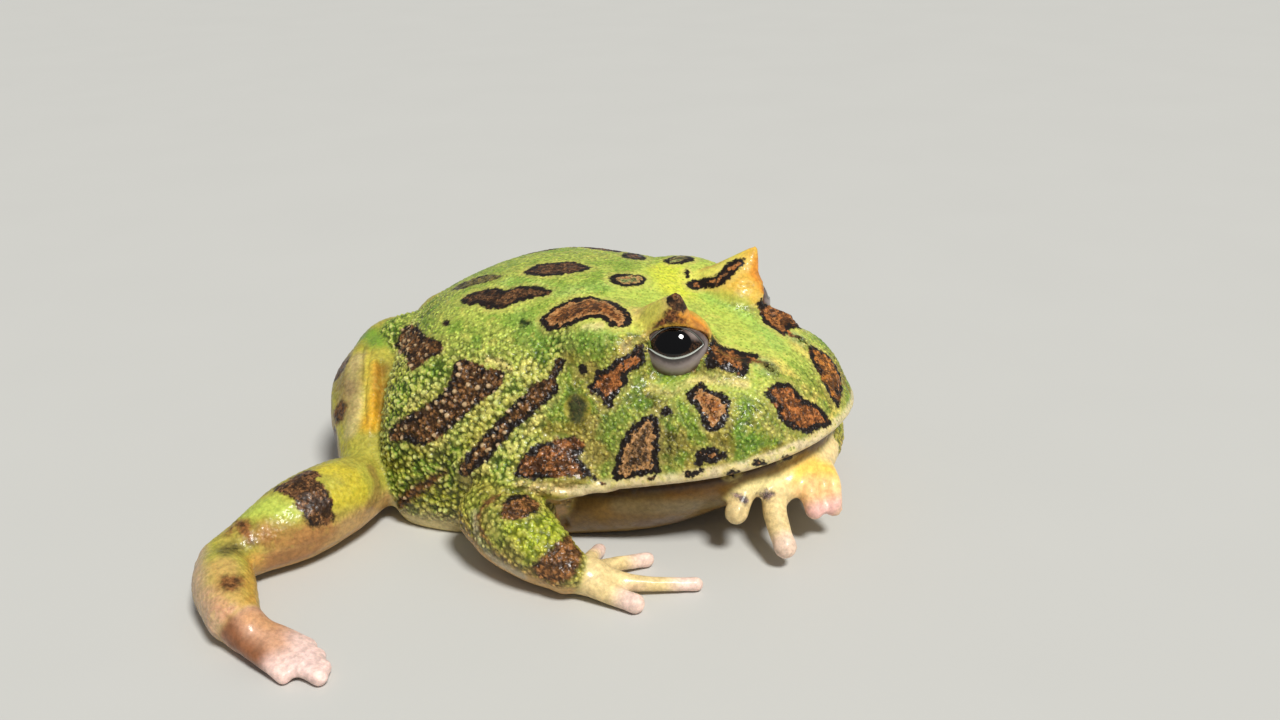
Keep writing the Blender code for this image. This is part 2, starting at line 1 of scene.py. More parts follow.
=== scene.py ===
"""Argentine horned frog, life size and still: skin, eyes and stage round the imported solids.

One skin stands for every solid of flesh, so that no seam shows.  It is made from those solids, made
smooth, and then given its mouth, nostrils, folds, markings and warts.  Lengths in this file are
millimetres, and become metres where a mesh is made.  The snout points to -Y, and the animal's right
side is at -X.
"""
import math

import bmesh
import bpy
import numpy as np
from bpy.props import FloatProperty, FloatVectorProperty, IntProperty, PointerProperty
from mathutils import Matrix, Vector
from mathutils.bvhtree import BVHTree
from mathutils.kdtree import KDTree


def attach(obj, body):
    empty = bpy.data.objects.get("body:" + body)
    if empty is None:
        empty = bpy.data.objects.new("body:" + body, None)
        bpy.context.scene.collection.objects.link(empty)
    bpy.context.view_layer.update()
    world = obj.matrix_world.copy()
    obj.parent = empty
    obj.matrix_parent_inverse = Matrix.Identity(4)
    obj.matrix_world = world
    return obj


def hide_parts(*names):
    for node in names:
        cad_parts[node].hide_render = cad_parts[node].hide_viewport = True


bl_info = {
    "name": "Argentine horned frog",
    "version": (1, 0, 0),
    "blender": (4, 5, 0),
    "location": "3D View > Sidebar > Horned Frog",
    "description": "Builds the skin, the eyes and the stage of a life-size horned frog",
    "category": "Object",
}

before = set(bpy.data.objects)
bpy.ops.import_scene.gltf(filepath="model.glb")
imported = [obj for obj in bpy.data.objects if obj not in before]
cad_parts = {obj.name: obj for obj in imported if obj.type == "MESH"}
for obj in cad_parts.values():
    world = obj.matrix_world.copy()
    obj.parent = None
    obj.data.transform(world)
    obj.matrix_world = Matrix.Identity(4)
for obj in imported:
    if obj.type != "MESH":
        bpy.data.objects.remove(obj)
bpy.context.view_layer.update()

MM = 0.001
BODY = "root"
SEED = 7

EYE_NODES = ("eye_right", "eye_left")
FLESH_NODES = tuple(sorted(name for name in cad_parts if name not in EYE_NODES))

# Which nodes belong to which region of the skin.
REGIONS = {
    "head": ("head",),
    "horn": ("eyelid_horn_right", "eyelid_horn_left"),
    "jaw": ("lower_jaw",),
    "torso": ("torso",),
    "arm": ("upper_arm_right", "forearm_right", "upper_arm_left", "forearm_left"),
    "hand_right": ("hand_right",),
    "hand_left": ("hand_left",),
    "leg": ("thigh_right", "shank_right", "tarsus_right", "thigh_left", "shank_left", "tarsus_left"),
    "foot": ("foot_right", "foot_left"),
}
REGION_NAMES = tuple(REGIONS)

# Mouth: height of the lower edge of the upper lip along the head.
MOUTH_LINE = ((-60.0, 20.0), (-58.8, 19.8), (-53.5, 18.8), (-45.0, 17.2), (-36.0, 15.4),
              (-25.2, 13.2), (-14.0, 11.6))
MOUTH_CORNER_Y = -19.0

# Soft ridges of the mouth and the nostrils, and grooves where the height is below 0: middle, half width
# and height.  The middle is measured from the mouth line or from the middle of the nostril.
LIP = (1.2, 0.9, 0.45)
MOUTH_GROOVE = (-0.6, 0.55, -1.0)
NOSTRIL_RIM = (1.45, 0.5, 0.62)
NOSTRIL_HOLE = (0.0, 0.75, -1.5)

# Eyes: centre, radius and gaze of the right eye, and the gap that keeps the skin off it.  The left one
# mirrors it.
EYE_CENTRE = (-13.6, -31.2, 36.0)
EYE_RADIUS = 6.4
EYE_GAZE = (-0.80, -0.47, 0.37)
EYE_GAP = 0.02

# Outlines round the gaze, in degrees back along the head and degrees up: the free edge of the lids and,
# point for point, where the lids end under the skin.
LID_EDGE = ((58, 7), (46, -2), (32, -10), (10, -16), (-14, -13), (-34, -5), (-48, 6), (-40, 17),
            (-27, 27), (-10, 33), (10, 35), (32, 28))
LID_FOOT = ((78, 8), (66, -24), (50, -48), (12, -62), (-30, -54), (-60, -26), (-68, 6), (-62, 26),
            (-44, 38), (-12, 43), (12, 44), (44, 38))

# Lids: parts between two points of their outlines, steps from foot to edge, the gap under them, and the
# share of the way from foot to edge at which their rounding starts.
LID_PARTS = 10
LID_STEPS = 22
LID_GAP = 0.03
LID_ROUND_FROM = 0.92

# Pupil: its middle and its half widths, in degrees back and up from the gaze.
PUPIL_BACK, PUPIL_LIFT = 6.0, 9.0
PUPIL_LENGTH, PUPIL_HEIGHT = 31.0, 22.5

# Places on the right side, which the left side mirrors.
NOSTRIL = (-7.6, -47.7, 32.6)
EARDRUM = (-30.4, -19.5, 28.0)

# The photograph's camera: its place, direction, rightward direction and focal length in pixels.
PHOTO_WIDTH, PHOTO_HEIGHT = 1280, 720
PHOTO_FOCAL = 1250.0
CAMERA_PLACE = (-205.88, -134.30, 123.90)
CAMERA_VIEW = (0.80039258, 0.46160629, -0.38248053)
CAMERA_RIGHT = (0.49120814, -0.87073972, -0.02295433)

# Width of the camera's film, and the nearest that it sees.
SENSOR_WIDTH = 36.0
NEAREST_SEEN = 5.0

# Stage: the sun's place and what it points at in metres, its width in degrees, colours of the light, and
# the gap between the floor and the frog.
SUN_PLACE = (-0.27, -0.49, 0.82)
SUN_TARGET = (-0.01, -0.01, 0.02)
SUN_WIDTH = 14.0
SUN_COLOUR = (1.0, 0.985, 0.95)
SKY_COLOUR = (0.97, 0.98, 1.0)
FLOOR_GAP = 0.04

# Enlarged crops of the photograph on which the outlines are traced: left, top and enlargement.
HEAD = (560, 240, 5)
BACK = (340, 230, 5)
LEG = (185, 445, 5)
ARM = (455, 455, 5)
HAND = (700, 430, 6)


def srgb(red, green, blue):
    """Colour from 0 to 255 as a screen shows it, turned into linear values from 0 to 1."""
    out = []
    for level in (red, green, blue):
        level /= 255.0
        out.append(level / 12.92 if level <= 0.04045 else ((level + 0.055) / 1.055) ** 2.4)
    return tuple(out)


# Colours of the middles of the markings.
TONES = {
    "chestnut": srgb(150, 92, 42),
    "amber": srgb(186, 116, 44),
    "brow": srgb(126, 72, 28),
    "rust": srgb(168, 100, 46),
    "rust_dark": srgb(140, 84, 38),
    "umber": srgb(100, 66, 38),
    "bark": srgb(104, 68, 32),
    "tan": srgb(122, 90, 56),
    "olive": srgb(122, 112, 52),
    "lime_core": srgb(136, 148, 84),
    "deep_green": srgb(80, 112, 30),
    "drum": srgb(58, 62, 28),
    "soft_brown": srgb(140, 92, 48),
    "lilac": srgb(150, 128, 124),
}

# Markings: name, crop, tone, darkness of the rim, softness of the edge, whether the other side has it
# too, and the outline.
MARKINGS = [
    ("back_kidney", BACK, "chestnut", 1.0, 0.25, False,
     [(1003, 450), (1040, 412), (1085, 378), (1160, 345), (1250, 333), (1330, 348), (1400, 375),
      (1445, 412), (1460, 455), (1440, 480), (1385, 493), (1335, 475), (1310, 452), (1260, 443),
      (1200, 458), (1150, 482), (1095, 502), (1045, 505), (1010, 480)]),
    ("back_long", BACK, "umber", 0.7, 0.3, True,
     [(600, 355), (650, 320), (720, 300), (780, 290), (830, 300), (900, 280), (970, 280), (1030, 290),
      (1062, 308), (1030, 330), (960, 345), (900, 360), (840, 385), (780, 398), (720, 390), (680, 370),
      (640, 378)]),
    ("back_middle", BACK, "umber", 0.7, 0.3, False,
     [(915, 220), (960, 185), (1010, 170), (1070, 165), (1130, 160), (1190, 165), (1230, 180),
      (1262, 188), (1235, 205), (1190, 215), (1130, 222), (1060, 230), (990, 232)]),
    ("back_rear", BACK, "olive", 0.2, 0.5, True,
     [(560, 300), (600, 272), (660, 247), (720, 228), (780, 222), (808, 232), (785, 248), (730, 265),
      (660, 282), (600, 302)]),
    ("crown_ring", HEAD, "lime_core", 1.0, 0.3, False,
     [(243, 195), (270, 175), (320, 168), (380, 170), (425, 185), (432, 205), (410, 225), (350, 235),
      (290, 228), (255, 212)]),
    ("crown_far", HEAD, "lime_core", 0.9, 0.3, False,
     [(515, 102), (560, 84), (600, 74), (640, 78), (672, 92), (660, 110), (600, 120), (545, 122)]),
    ("crown_edge", HEAD, "umber", 0.7, 0.4, False,
     [(305, 78), (330, 58), (370, 46), (410, 52), (438, 74), (430, 96), (380, 100), (330, 92)]),
    ("brow_far", HEAD, "rust", 0.9, 0.3, False,
     [(625, 225), (660, 198), (720, 192), (770, 180), (800, 150), (840, 115), (880, 95), (912, 88),
      (925, 105), (915, 130), (885, 165), (840, 205), (790, 235), (720, 248), (660, 250)]),
    ("brow_dash", HEAD, "umber", 0.9, 0.3, False,
     [(620, 165), (635, 150), (648, 162), (645, 190), (628, 192)]),
    ("horn_near", HEAD, "brow", 0.0, 0.5, False,
     [(462, 446), (500, 395), (535, 352), (560, 345), (600, 380), (645, 425), (600, 414), (540, 418)]),
    ("temple", HEAD, "rust", 0.8, 0.25, True,
     [(415, 505), (425, 560), (425, 610), (395, 640), (345, 670), (335, 720), (300, 765), (270, 790),
      (262, 835), (225, 835), (200, 790), (155, 765), (140, 735), (170, 700), (180, 650), (215, 650),
      (262, 610), (300, 585), (350, 560)]),
    ("temple_spot", HEAD, "umber", 1.0, 0.3, True,
     [(90, 640), (100, 615), (130, 612), (145, 640), (135, 665), (110, 680), (95, 670)]),
    ("eardrum", HEAD, "drum", 0.0, 0.9, True,
     [(40, 800), (70, 765), (110, 770), (135, 810), (130, 880), (100, 915), (60, 910), (40, 860)]),
    ("eye_to_nostril", HEAD, "chestnut", 0.75, 0.25, True,
     [(745, 510), (790, 518), (850, 540), (920, 560), (1005, 575), (985, 600), (950, 620), (930, 690),
      (900, 685), (850, 655), (800, 640), (755, 630), (738, 570)]),
    ("under_eye", HEAD, "chestnut", 1.0, 0.25, True,
     [(620, 765), (650, 740), (690, 720), (715, 712), (735, 745), (780, 755), (830, 770), (850, 800),
      (850, 860), (830, 920), (790, 955), (745, 958), (715, 920), (690, 870), (655, 820)]),
    ("snout_near", HEAD, "rust", 0.75, 0.25, False,
     [(1015, 770), (1060, 720), (1120, 715), (1170, 730), (1200, 780), (1260, 810), (1310, 850),
      (1350, 900), (1350, 935), (1290, 950), (1240, 975), (1200, 960), (1140, 940), (1090, 890),
      (1075, 840), (1040, 800)]),
    ("snout_far", HEAD, "amber", 0.75, 0.25, False,
     [(1240, 530), (1290, 545), (1340, 580), (1375, 625), (1400, 680), (1410, 735), (1405, 790),
      (1390, 850), (1370, 820), (1320, 740), (1300, 690), (1270, 630), (1245, 580)]),
    ("cheek", HEAD, "tan", 1.0, 0.25, True,
     [(440, 870), (490, 890), (500, 960), (495, 1060), (500, 1160), (450, 1175), (390, 1185), (330, 1195),
      (265, 1195), (270, 1130), (290, 1060), (310, 1000), (350, 940), (400, 890)]),
    ("cheek_knob", HEAD, "umber", 1.0, 0.3, True,
     [(495, 890), (505, 845), (530, 822), (560, 845), (555, 880), (520, 884)]),
    ("lip_patch", HEAD, "chestnut", 0.9, 0.3, True,
     [(675, 1118), (685, 1058), (720, 1038), (765, 1033), (800, 1053), (830, 1063), (835, 1103),
      (790, 1108), (740, 1118), (700, 1138)]),
    ("lip_a", HEAD, "tan", 0.9, 0.25, True,
     [(615, 1166), (640, 1151), (700, 1141), (720, 1151), (690, 1171), (640, 1186)]),
    ("lip_b", HEAD, "tan", 0.9, 0.25, True,
     [(825, 1166), (860, 1140), (895, 1153), (882, 1176), (845, 1186)]),
    ("lip_c", HEAD, "tan", 0.9, 0.25, True,
     [(965, 1108), (1000, 1090), (1035, 1102), (1025, 1125), (978, 1128)]),
    ("lip_d", HEAD, "tan", 0.9, 0.25, True,
     [(1100, 1084), (1130, 1070), (1160, 1077), (1150, 1097), (1115, 1102)]),
    ("lip_e", HEAD, "tan", 0.9, 0.25, True,
     [(430, 1190), (455, 1178), (480, 1182), (465, 1196), (440, 1200)]),
    ("brow_front_far", HEAD, "rust", 0.1, 0.6, True,
     [(1012, 250), (1035, 240), (1055, 280), (1066, 330), (1094, 390), (1135, 440), (1168, 480),
      (1150, 482), (1108, 440), (1066, 384), (1036, 310)]),
    ("shoulder", BACK, "rust_dark", 0.55, 0.35, True,
     [(870, 1230), (900, 1160), (930, 1110), (990, 1070), (1060, 1050), (1130, 1035), (1190, 1035),
      (1225, 1070), (1225, 1110), (1200, 1140), (1240, 1190), (1285, 1245), (1330, 1275), (1230, 1240),
      (1150, 1230), (1070, 1240), (980, 1250)]),
    ("side_stripe", BACK, "bark", 0.6, 0.3, True,
     [(1055, 700), (1085, 650), (1120, 640), (1115, 690), (1080, 760), (1100, 800), (1040, 860),
      (960, 930), (880, 990), (830, 1050), (780, 1110), (720, 1170), (640, 1230), (600, 1215),
      (610, 1160), (650, 1110), (700, 1050), (770, 970), (850, 890), (920, 820), (970, 770),
      (1040, 740)]),
    ("flank", BACK, "bark", 0.5, 0.35, True,
     [(580, 660), (640, 650), (700, 670), (740, 690), (820, 705), (825, 750), (790, 800), (720, 850),
      (660, 900), (600, 960), (540, 1010), (480, 1050), (410, 1080), (330, 1060), (270, 1060),
      (250, 1020), (290, 960), (350, 920), (420, 880), (490, 830), (540, 780), (560, 720)]),
    ("rump", BACK, "bark", 0.45, 0.35, True,
     [(290, 560), (310, 510), (350, 480), (400, 495), (430, 530), (480, 545), (515, 570), (515, 610),
      (460, 640), (420, 670), (370, 710), (345, 690), (330, 640), (290, 600)]),
    # Dark streak along the lower flank: partly the flank's own brown, partly painted shade in the groove
    # above the belly.
    ("belly_edge", BACK, "bark", 0.1, 0.9, True,
     [(250, 1400), (290, 1330), (370, 1275), (450, 1232), (520, 1195), (540, 1215), (470, 1275),
      (390, 1335), (310, 1400)]),
    ("fleck_a", BACK, "umber", 0.3, 0.4, True,
     [(517, 458), (535, 448), (553, 456), (548, 476), (528, 484), (514, 472)]),
    ("fleck_b", BACK, "deep_green", 0.0, 0.5, True,
     [(898, 460), (920, 445), (948, 458), (944, 478), (915, 486), (900, 476)]),
    ("shank_patch", LEG, "umber", 0.1, 0.4, False,
     [(415, 200), (470, 155), (540, 130), (620, 128), (680, 155), (660, 170), (690, 200), (735, 270),
      (735, 320), (750, 360), (720, 400), (660, 412), (610, 395), (590, 345), (545, 310), (545, 280),
      (500, 250), (450, 235)]),
    ("shank_end", LEG, "soft_brown", 0.0, 1.1, False,
     [(245, 375), (330, 380), (340, 430), (350, 500), (330, 500), (290, 470), (255, 430)]),
    ("heel_patch", LEG, "soft_brown", 0.0, 1.2, False,
     [(125, 440), (160, 400), (210, 385), (240, 400), (240, 440), (200, 455), (140, 460)]),
    ("tarsus_band", LEG, "olive", 0.0, 1.4, False,
     [(165, 520), (190, 490), (250, 485), (290, 510), (290, 545), (230, 550), (180, 550)]),
    ("tarsus_saddle", LEG, "soft_brown", 0.0, 1.2, False,
     [(165, 690), (190, 658), (260, 655), (295, 665), (290, 710), (240, 735), (180, 725)]),
    ("forearm_top", ARM, "soft_brown", 0.45, 0.4, False,
     [(220, 290), (250, 230), (300, 200), (370, 205), (420, 250), (415, 285), (370, 310), (310, 325),
      (250, 320)]),
    ("forearm_wrist", ARM, "soft_brown", 0.2, 0.6, False,
     [(385, 570), (400, 540), (450, 490), (500, 450), (545, 410), (580, 395), (600, 430), (625, 480),
      (625, 540), (600, 600), (560, 630), (500, 645), (440, 630), (400, 600)]),
    ("elbow_rim", ARM, "soft_brown", 0.0, 0.8, False,
     [(120, 330), (110, 300), (160, 220), (230, 190), (200, 230), (150, 270), (130, 310), (140, 380),
      (190, 450), (170, 440), (130, 390)]),
    ("hand_mark", HAND, "lilac", 0.0, 0.6, False,
     [(330, 420), (345, 385), (385, 368), (430, 365), (455, 380), (440, 410), (400, 425), (360, 432)]),
    ("hand_mark_side", HAND, "lilac", 0.0, 0.6, False,
     [(190, 385), (230, 378), (280, 400), (290, 440), (250, 440), (215, 410)]),
]

# Soft patches of ground colour: name, crop, region, strength, whether the other side has it too, radius
# in pixels, colour, and the line that it follows.
TINTS = [
    ("nose_stripe", HEAD, "head", 1.0, True, 10, (232, 210, 104),
     [(1090, 625), (1200, 745), (1330, 860), (1395, 905)]),
    ("nose_stripe_upper", HEAD, "head", 0.4, True, 4, (214, 216, 104),
     [(940, 400), (1060, 560), (1120, 640)]),
    ("below_canthus", HEAD, "head", 0.95, True, 6, (228, 210, 132),
     [(560, 752), (650, 715), (760, 690), (850, 710), (920, 722)]),
    ("below_eye", HEAD, "head", 0.9, True, 6, (220, 206, 118), [(345, 705), (450, 742), (560, 752)]),
    ("face_olive", HEAD, "head", 0.9, True, 14, (92, 88, 26),
     [(390, 800), (470, 840), (540, 960), (545, 1060)]),
    ("face_olive_rear", HEAD, "head", 0.6, True, 12, (104, 92, 36),
     [(250, 880), (300, 1000), (330, 1110)]),
    ("lid_orange", HEAD, "horn", 0.95, True, 9, (222, 142, 48), [(600, 372), (665, 400), (720, 450)]),
    ("horn_rear", HEAD, "horn", 0.95, False, 9, (222, 198, 112),
     [(385, 355), (425, 385), (475, 345), (535, 300)]),
    ("far_horn_rear", HEAD, "horn", 0.9, False, 12, (222, 220, 96), [(700, 190), (770, 160), (830, 130)]),
    ("lid_tan", HEAD, "horn", 0.8, True, 5, (204, 152, 88), [(425, 480), (445, 445)]),
    ("lid_back", HEAD, "head", 0.8, True, 5, (222, 190, 120), [(430, 420), (380, 490), (320, 540)]),
    ("side_cream_upper", BACK, "torso", 0.85, True, 7, (226, 216, 112),
     [(940, 680), (860, 790), (740, 900), (620, 1000), (470, 1100)]),
    ("side_cream_lower", BACK, "trunk", 0.85, True, 8, (226, 212, 120),
     [(1075, 830), (990, 930), (880, 1050), (770, 1160), (640, 1270)]),
    ("flank_cream_rear", BACK, "torso", 0.8, True, 5, (228, 216, 124),
     [(345, 880), (440, 800), (520, 740)]),
    ("flank_cream_top", BACK, "torso", 0.7, True, 4, (232, 206, 134),
     [(720, 645), (800, 660), (850, 700)]),
    ("under_kidney", BACK, "trunk", 0.8, True, 5, (236, 216, 150), [(1230, 490), (1300, 480)]),
    ("crown_yellow", HEAD, "head", 0.9, False, 18, (222, 224, 66), [(470, 60), (540, 190), (580, 245)]),
    ("crown_yellow_side", HEAD, "head", 0.7, True, 14, (216, 216, 84), [(470, 330), (430, 420)]),
    ("cheek_tan", HEAD, "head", 0.75, True, 12, (176, 158, 78), [(190, 930), (190, 1060), (200, 1170)]),
    ("temple_tan", HEAD, "head", 0.7, True, 9, (186, 164, 88), [(330, 830), (200, 920), (380, 760)]),
    ("cheek_front_tan", HEAD, "head", 0.6, True, 7, (178, 164, 76),
     [(620, 950), (600, 1060), (560, 1140)]),
    ("snout_side_tan", HEAD, "head", 0.7, True, 6, (214, 200, 110),
     [(1000, 880), (1060, 950), (1150, 1000)]),
    ("muzzle_green", HEAD, "head", 0.75, True, 9, (92, 138, 34), [(930, 830), (900, 960), (960, 1030)]),
    # Pale mint patch on the forehead: painted reflection.
    ("forehead_painted_reflection", HEAD, "head", 0.6, False, 11, (156, 196, 88),
     [(760, 290), (900, 330), (1000, 440), (1080, 520)]),
    # Pale mint patches along the back: painted reflection.
    ("back_painted_reflection", BACK, "trunk", 0.45, True, 11, (150, 186, 96),
     [(900, 430), (1000, 560), (1200, 560), (1330, 540)]),
    ("back_painted_reflection_top", BACK, "trunk", 0.6, False, 10, (180, 210, 108),
     [(850, 260), (1100, 310), (1330, 280)]),
    ("flank_dark", BACK, "torso", 0.6, True, 9, (96, 112, 30),
     [(280, 880), (300, 1120), (420, 1180), (560, 1100)]),
    ("arm_fold", ARM, "trunk", 0.85, True, 6, (220, 192, 128),
     [(330, 150), (450, 170), (560, 165), (680, 185)]),
    ("groin_orange", BACK, "leg", 0.8, True, 8, (228, 166, 48), [(170, 690), (186, 760), (172, 850)]),
    ("groin_orange_low", BACK, "leg", 0.75, True, 11, (232, 166, 36), [(172, 870), (146, 960)]),
    ("groin_brown", BACK, "leg", 0.6, True, 8, (112, 70, 30), [(214, 690), (206, 770), (214, 900)]),
    ("groin_yellow", BACK, "leg", 0.8, True, 8, (210, 188, 72), [(128, 640), (116, 760), (104, 900)]),
    ("hip_green", BACK, "leg", 0.9, True, 9, (112, 150, 44), [(110, 540), (150, 520), (190, 560)]),
    ("hip_cream", BACK, "leg", 0.6, True, 9, (204, 180, 136),
     [(84, 640), (58, 740), (72, 860), (50, 1000)]),
    ("hip_umber", BACK, "leg", 0.4, True, 7, (96, 68, 44), [(96, 700), (84, 800)]),
    ("hip_brown", BACK, "leg", 0.6, True, 12, (124, 90, 68), [(26, 650), (14, 780), (30, 900)]),
    ("knee_yellow", LEG, "leg", 0.9, False, 11, (204, 186, 56),
     [(700, 110), (820, 150), (880, 240), (760, 260)]),
    ("knee_brown", LEG, "leg", 0.7, False, 6, (140, 104, 58), [(930, 120), (960, 240), (930, 300)]),
    ("shank_lime", LEG, "leg", 0.95, False, 13, (186, 198, 84), [(330, 330), (430, 300), (500, 360)]),
    ("shank_peach", LEG, "leg", 0.9, False, 14, (170, 118, 66),
     [(420, 450), (560, 460), (700, 430), (600, 540), (450, 580)]),
    ("tarsus_tan", LEG, "leg", 0.85, False, 17, (204, 160, 96), [(190, 600), (220, 740), (260, 860)]),
    ("tarsus_olive", LEG, "leg", 0.85, False, 11, (186, 164, 74), [(220, 430), (250, 540)]),
    ("tarsus_pink", LEG, "leg", 0.9, False, 11, (206, 152, 118), [(110, 760), (200, 840), (300, 870)]),
    # Brown of the heel, with painted shade on the underside of the foot and its webs.
    ("foot_brown_and_shade", LEG, "foot", 0.9, False, 14, (128, 78, 46), [(170, 880), (260, 1010), (370, 1090)]),
    ("foot_peach", LEG, "foot", 0.75, False, 9, (214, 160, 112), [(330, 860), (420, 900)]),
    ("tarsus_gold", LEG, "leg", 0.9, False, 12, (206, 156, 74), [(340, 600), (330, 720), (360, 840)]),
    ("tarsus_cream", LEG, "leg", 0.9, False, 14, (200, 162, 132),
     [(60, 540), (56, 680), (80, 800), (130, 900)]),
    ("forearm_lime", ARM, "arm", 0.9, False, 12, (184, 190, 48),
     [(250, 370), (380, 380), (470, 330), (510, 390), (360, 470)]),
    ("forearm_olive", ARM, "arm", 0.8, False, 8, (176, 164, 84), [(170, 300), (230, 420), (320, 520)]),
    ("forearm_grey", ARM, "arm", 0.9, False, 6, (196, 180, 146),
     [(100, 300), (120, 420), (200, 520), (330, 600)]),
    # The throat's own gold, cream and pink, darkened with painted shade under the jaw.
    ("throat_gold_in_shade", HEAD, "jaw", 0.8, True, 10, (122, 80, 10), [(560, 1250), (680, 1240), (790, 1235)]),
    ("throat_cream_in_shade", HEAD, "jaw", 0.8, True, 9, (128, 112, 76),
     [(300, 1330), (480, 1340), (650, 1330), (780, 1320)]),
    ("throat_pink_in_shade", HEAD, "jaw", 0.7, True, 9, (104, 82, 64), [(420, 1420), (560, 1400), (700, 1400)]),
    ("palm_gold", HAND, "hand_left", 0.9, False, 14, (246, 196, 84),
     [(560, 240), (640, 200), (700, 230), (760, 250)]),
    ("palm_cream", HAND, "hand_left", 0.9, False, 14, (232, 216, 150),
     [(200, 300), (320, 290), (470, 270)]),
    ("fingers_pink", HAND, "hand_left", 0.9, False, 13, (236, 184, 176),
     [(680, 480), (760, 470), (800, 430)]),
    ("fingers_peach", HAND, "hand_left", 0.8, False, 12, (246, 196, 130),
     [(640, 370), (740, 340), (800, 330)]),
]

# Folds of the skin: name, crop, half width, height, whether the other side has it too, and its line.
FOLDS = [
    ("arm_groove", ARM, 0.9, -0.9, True,
     [(170, 185), (260, 182), (355, 188), (425, 212), (500, 262), (550, 355)]),
    ("arm_roll", ARM, 1.2, 0.6, True, [(240, 150), (340, 158), (440, 172), (520, 200)]),
    ("cream_roll", ARM, 0.8, 0.45, True, [(510, 125), (635, 125), (730, 168), (885, 185)]),
    ("jaw_groove", ARM, 0.6, -0.45, True, [(500, 165), (635, 178), (760, 185), (900, 190)]),
    ("shoulder_crease_a", ARM, 0.35, -0.28, True, [(385, 55), (470, 62), (560, 48)]),
    ("shoulder_crease_b", ARM, 0.35, -0.28, True, [(370, 80), (470, 92), (570, 80)]),
    ("shoulder_crease_c", ARM, 0.35, -0.28, True, [(355, 108), (450, 120), (560, 108)]),
    ("shoulder_crease_d", ARM, 0.35, -0.25, True, [(330, 132), (420, 142), (520, 138)]),
    ("hip_crease_a", BACK, 0.6, -0.5, True, [(110, 590), (108, 700), (112, 830), (100, 960)]),
    ("hip_crease_b", BACK, 0.5, -0.5, True, [(150, 600), (135, 720), (120, 840), (125, 960)]),
    ("hip_crease_c", BACK, 0.6, -0.6, True, [(205, 660), (215, 780), (200, 900), (180, 1000)]),
    ("hip_roll", BACK, 0.9, 0.4, True, [(172, 660), (168, 780), (160, 900), (150, 1000)]),
    ("forehead_bar", HEAD, 0.45, -0.25, False, [(765, 350), (820, 385), (875, 415)]),
    ("horn_crease_a", HEAD, 0.3, -0.18, False, [(850, 195), (900, 215), (955, 212)]),
    ("horn_crease_b", HEAD, 0.3, -0.18, False, [(855, 225), (910, 238), (965, 228)]),
    ("horn_crease_c", HEAD, 0.3, -0.15, False, [(925, 150), (950, 190), (985, 200)]),
]

# Round spots laid by their place: tone, softness, centre and radius.  The first two are on the tip of the
# near horn, and the others are on parts that the photograph hides.
SPOTS = [
    ("umber", 0.3, (-17.0, -34.4, 47.4), 2.7),
    ("umber", 0.3, (-16.6, -35.6, 45.6), 1.6),
    ("bark", 0.4, (33.0, 30.0, 25.0), 4.0),
    ("umber", 0.5, (45.6, 30.0, 14.0), 4.4),
    ("umber", 0.5, (46.6, 24.0, 13.0), 3.2),
    ("soft_brown", 0.9, (52.0, 44.0, 9.0), 3.0),
    ("bark", 0.5, (33.0, 17.0, 20.0), 3.0),
    ("umber", 0.5, (35.0, -22.0, 16.0), 3.2),
    ("umber", 0.5, (20.0, -46.0, 15.0), 3.4),
    ("bark", 0.4, (8.0, 38.0, 26.0), 4.0),
    ("bark", 0.4, (22.0, 34.0, 26.0), 3.2),
    ("umber", 0.4, (6.0, 24.0, 38.6), 3.4),
    ("umber", 0.4, (20.0, 22.0, 35.0), 3.4),
    ("bark", 0.7, (-24.5, 43.5, 21.5), 3.6),
    ("bark", 0.7, (-26.5, 45.5, 15.5), 3.2),
    ("bark", 0.7, (-33.5, 35.5, 16.6), 2.8),
    ("bark", 0.7, (-35.6, 36.8, 11.6), 2.6),
    ("bark", 0.7, (24.8, 40.6, 20.8), 3.6),
    ("bark", 0.7, (28.0, 41.4, 15.0), 3.2),
    ("bark", 0.7, (36.0, 29.6, 16.4), 2.8),
    ("bark", 0.7, (39.0, 29.6, 11.4), 2.6),
]

# Ends of the fingers and toes, with the radius of the pale skin round each.
TIPS = (
    ((-34.2, -25.4, 1.4), 6.0), ((-33.0, -35.0, 1.4), 6.0), ((-36.0, -46.8, 1.3), 7.0),
    ((-46.9, -40.4, 1.7), 5.5), ((-21.8, -57.8, 4.4), 4.0),
    ((-82.6, 1.8, 1.4), 6.0), ((-84.2, -1.6, 1.4), 7.0), ((-86.0, -4.4, 1.4), 7.5),
    ((-88.2, -5.6, 1.4), 7.0), ((-90.6, -0.2, 1.4), 6.0),
    ((57.6, 22.2, 1.4), 5.0), ((62.0, 18.6, 1.4), 6.0), ((67.6, 17.4, 1.4), 6.5),
    ((75.2, 19.6, 1.4), 6.5), ((75.8, 29.8, 1.4), 5.0),
)

# How grained and how speckled the skin of each region is, from 0 to 1.  A region that isn't named has none.
GRAIN_OF_REGION = {"head": 0.5, "horn": 0.12, "torso": 1.0, "arm": 0.75, "hand_right": 0.04, "leg": 0.2}
SPECKLE_OF_REGION = {"head": 1.0, "torso": 1.0, "horn": 0.3, "arm": 0.5, "leg": 0.35}

# Regions that a tint may reach, under the name that its row gives.
GROUP_OF_TINT = {
    "trunk": ("head", "horn", "jaw", "torso"),
    "head": ("head", "horn"),
    "horn": ("horn", "head"),
    "torso": ("torso",),
    "jaw": ("jaw", "torso"),
    "arm": ("arm",),
    "leg": ("leg", "torso"),
    "hand_left": ("hand_left",),
    "foot": ("foot",),
}

# The skin stays this high above the floor, and no bump has a smaller radius than this.
LEAST_HEIGHT = 0.02
LEAST_RADIUS = 0.001

# Vertices that are looked at for each centre of a bump, and stand-ins for no limit and for zero.
SAMPLES_OF_CENTRE = 6
FAR = 1e9
TINY = 1e-12


# Shared helpers


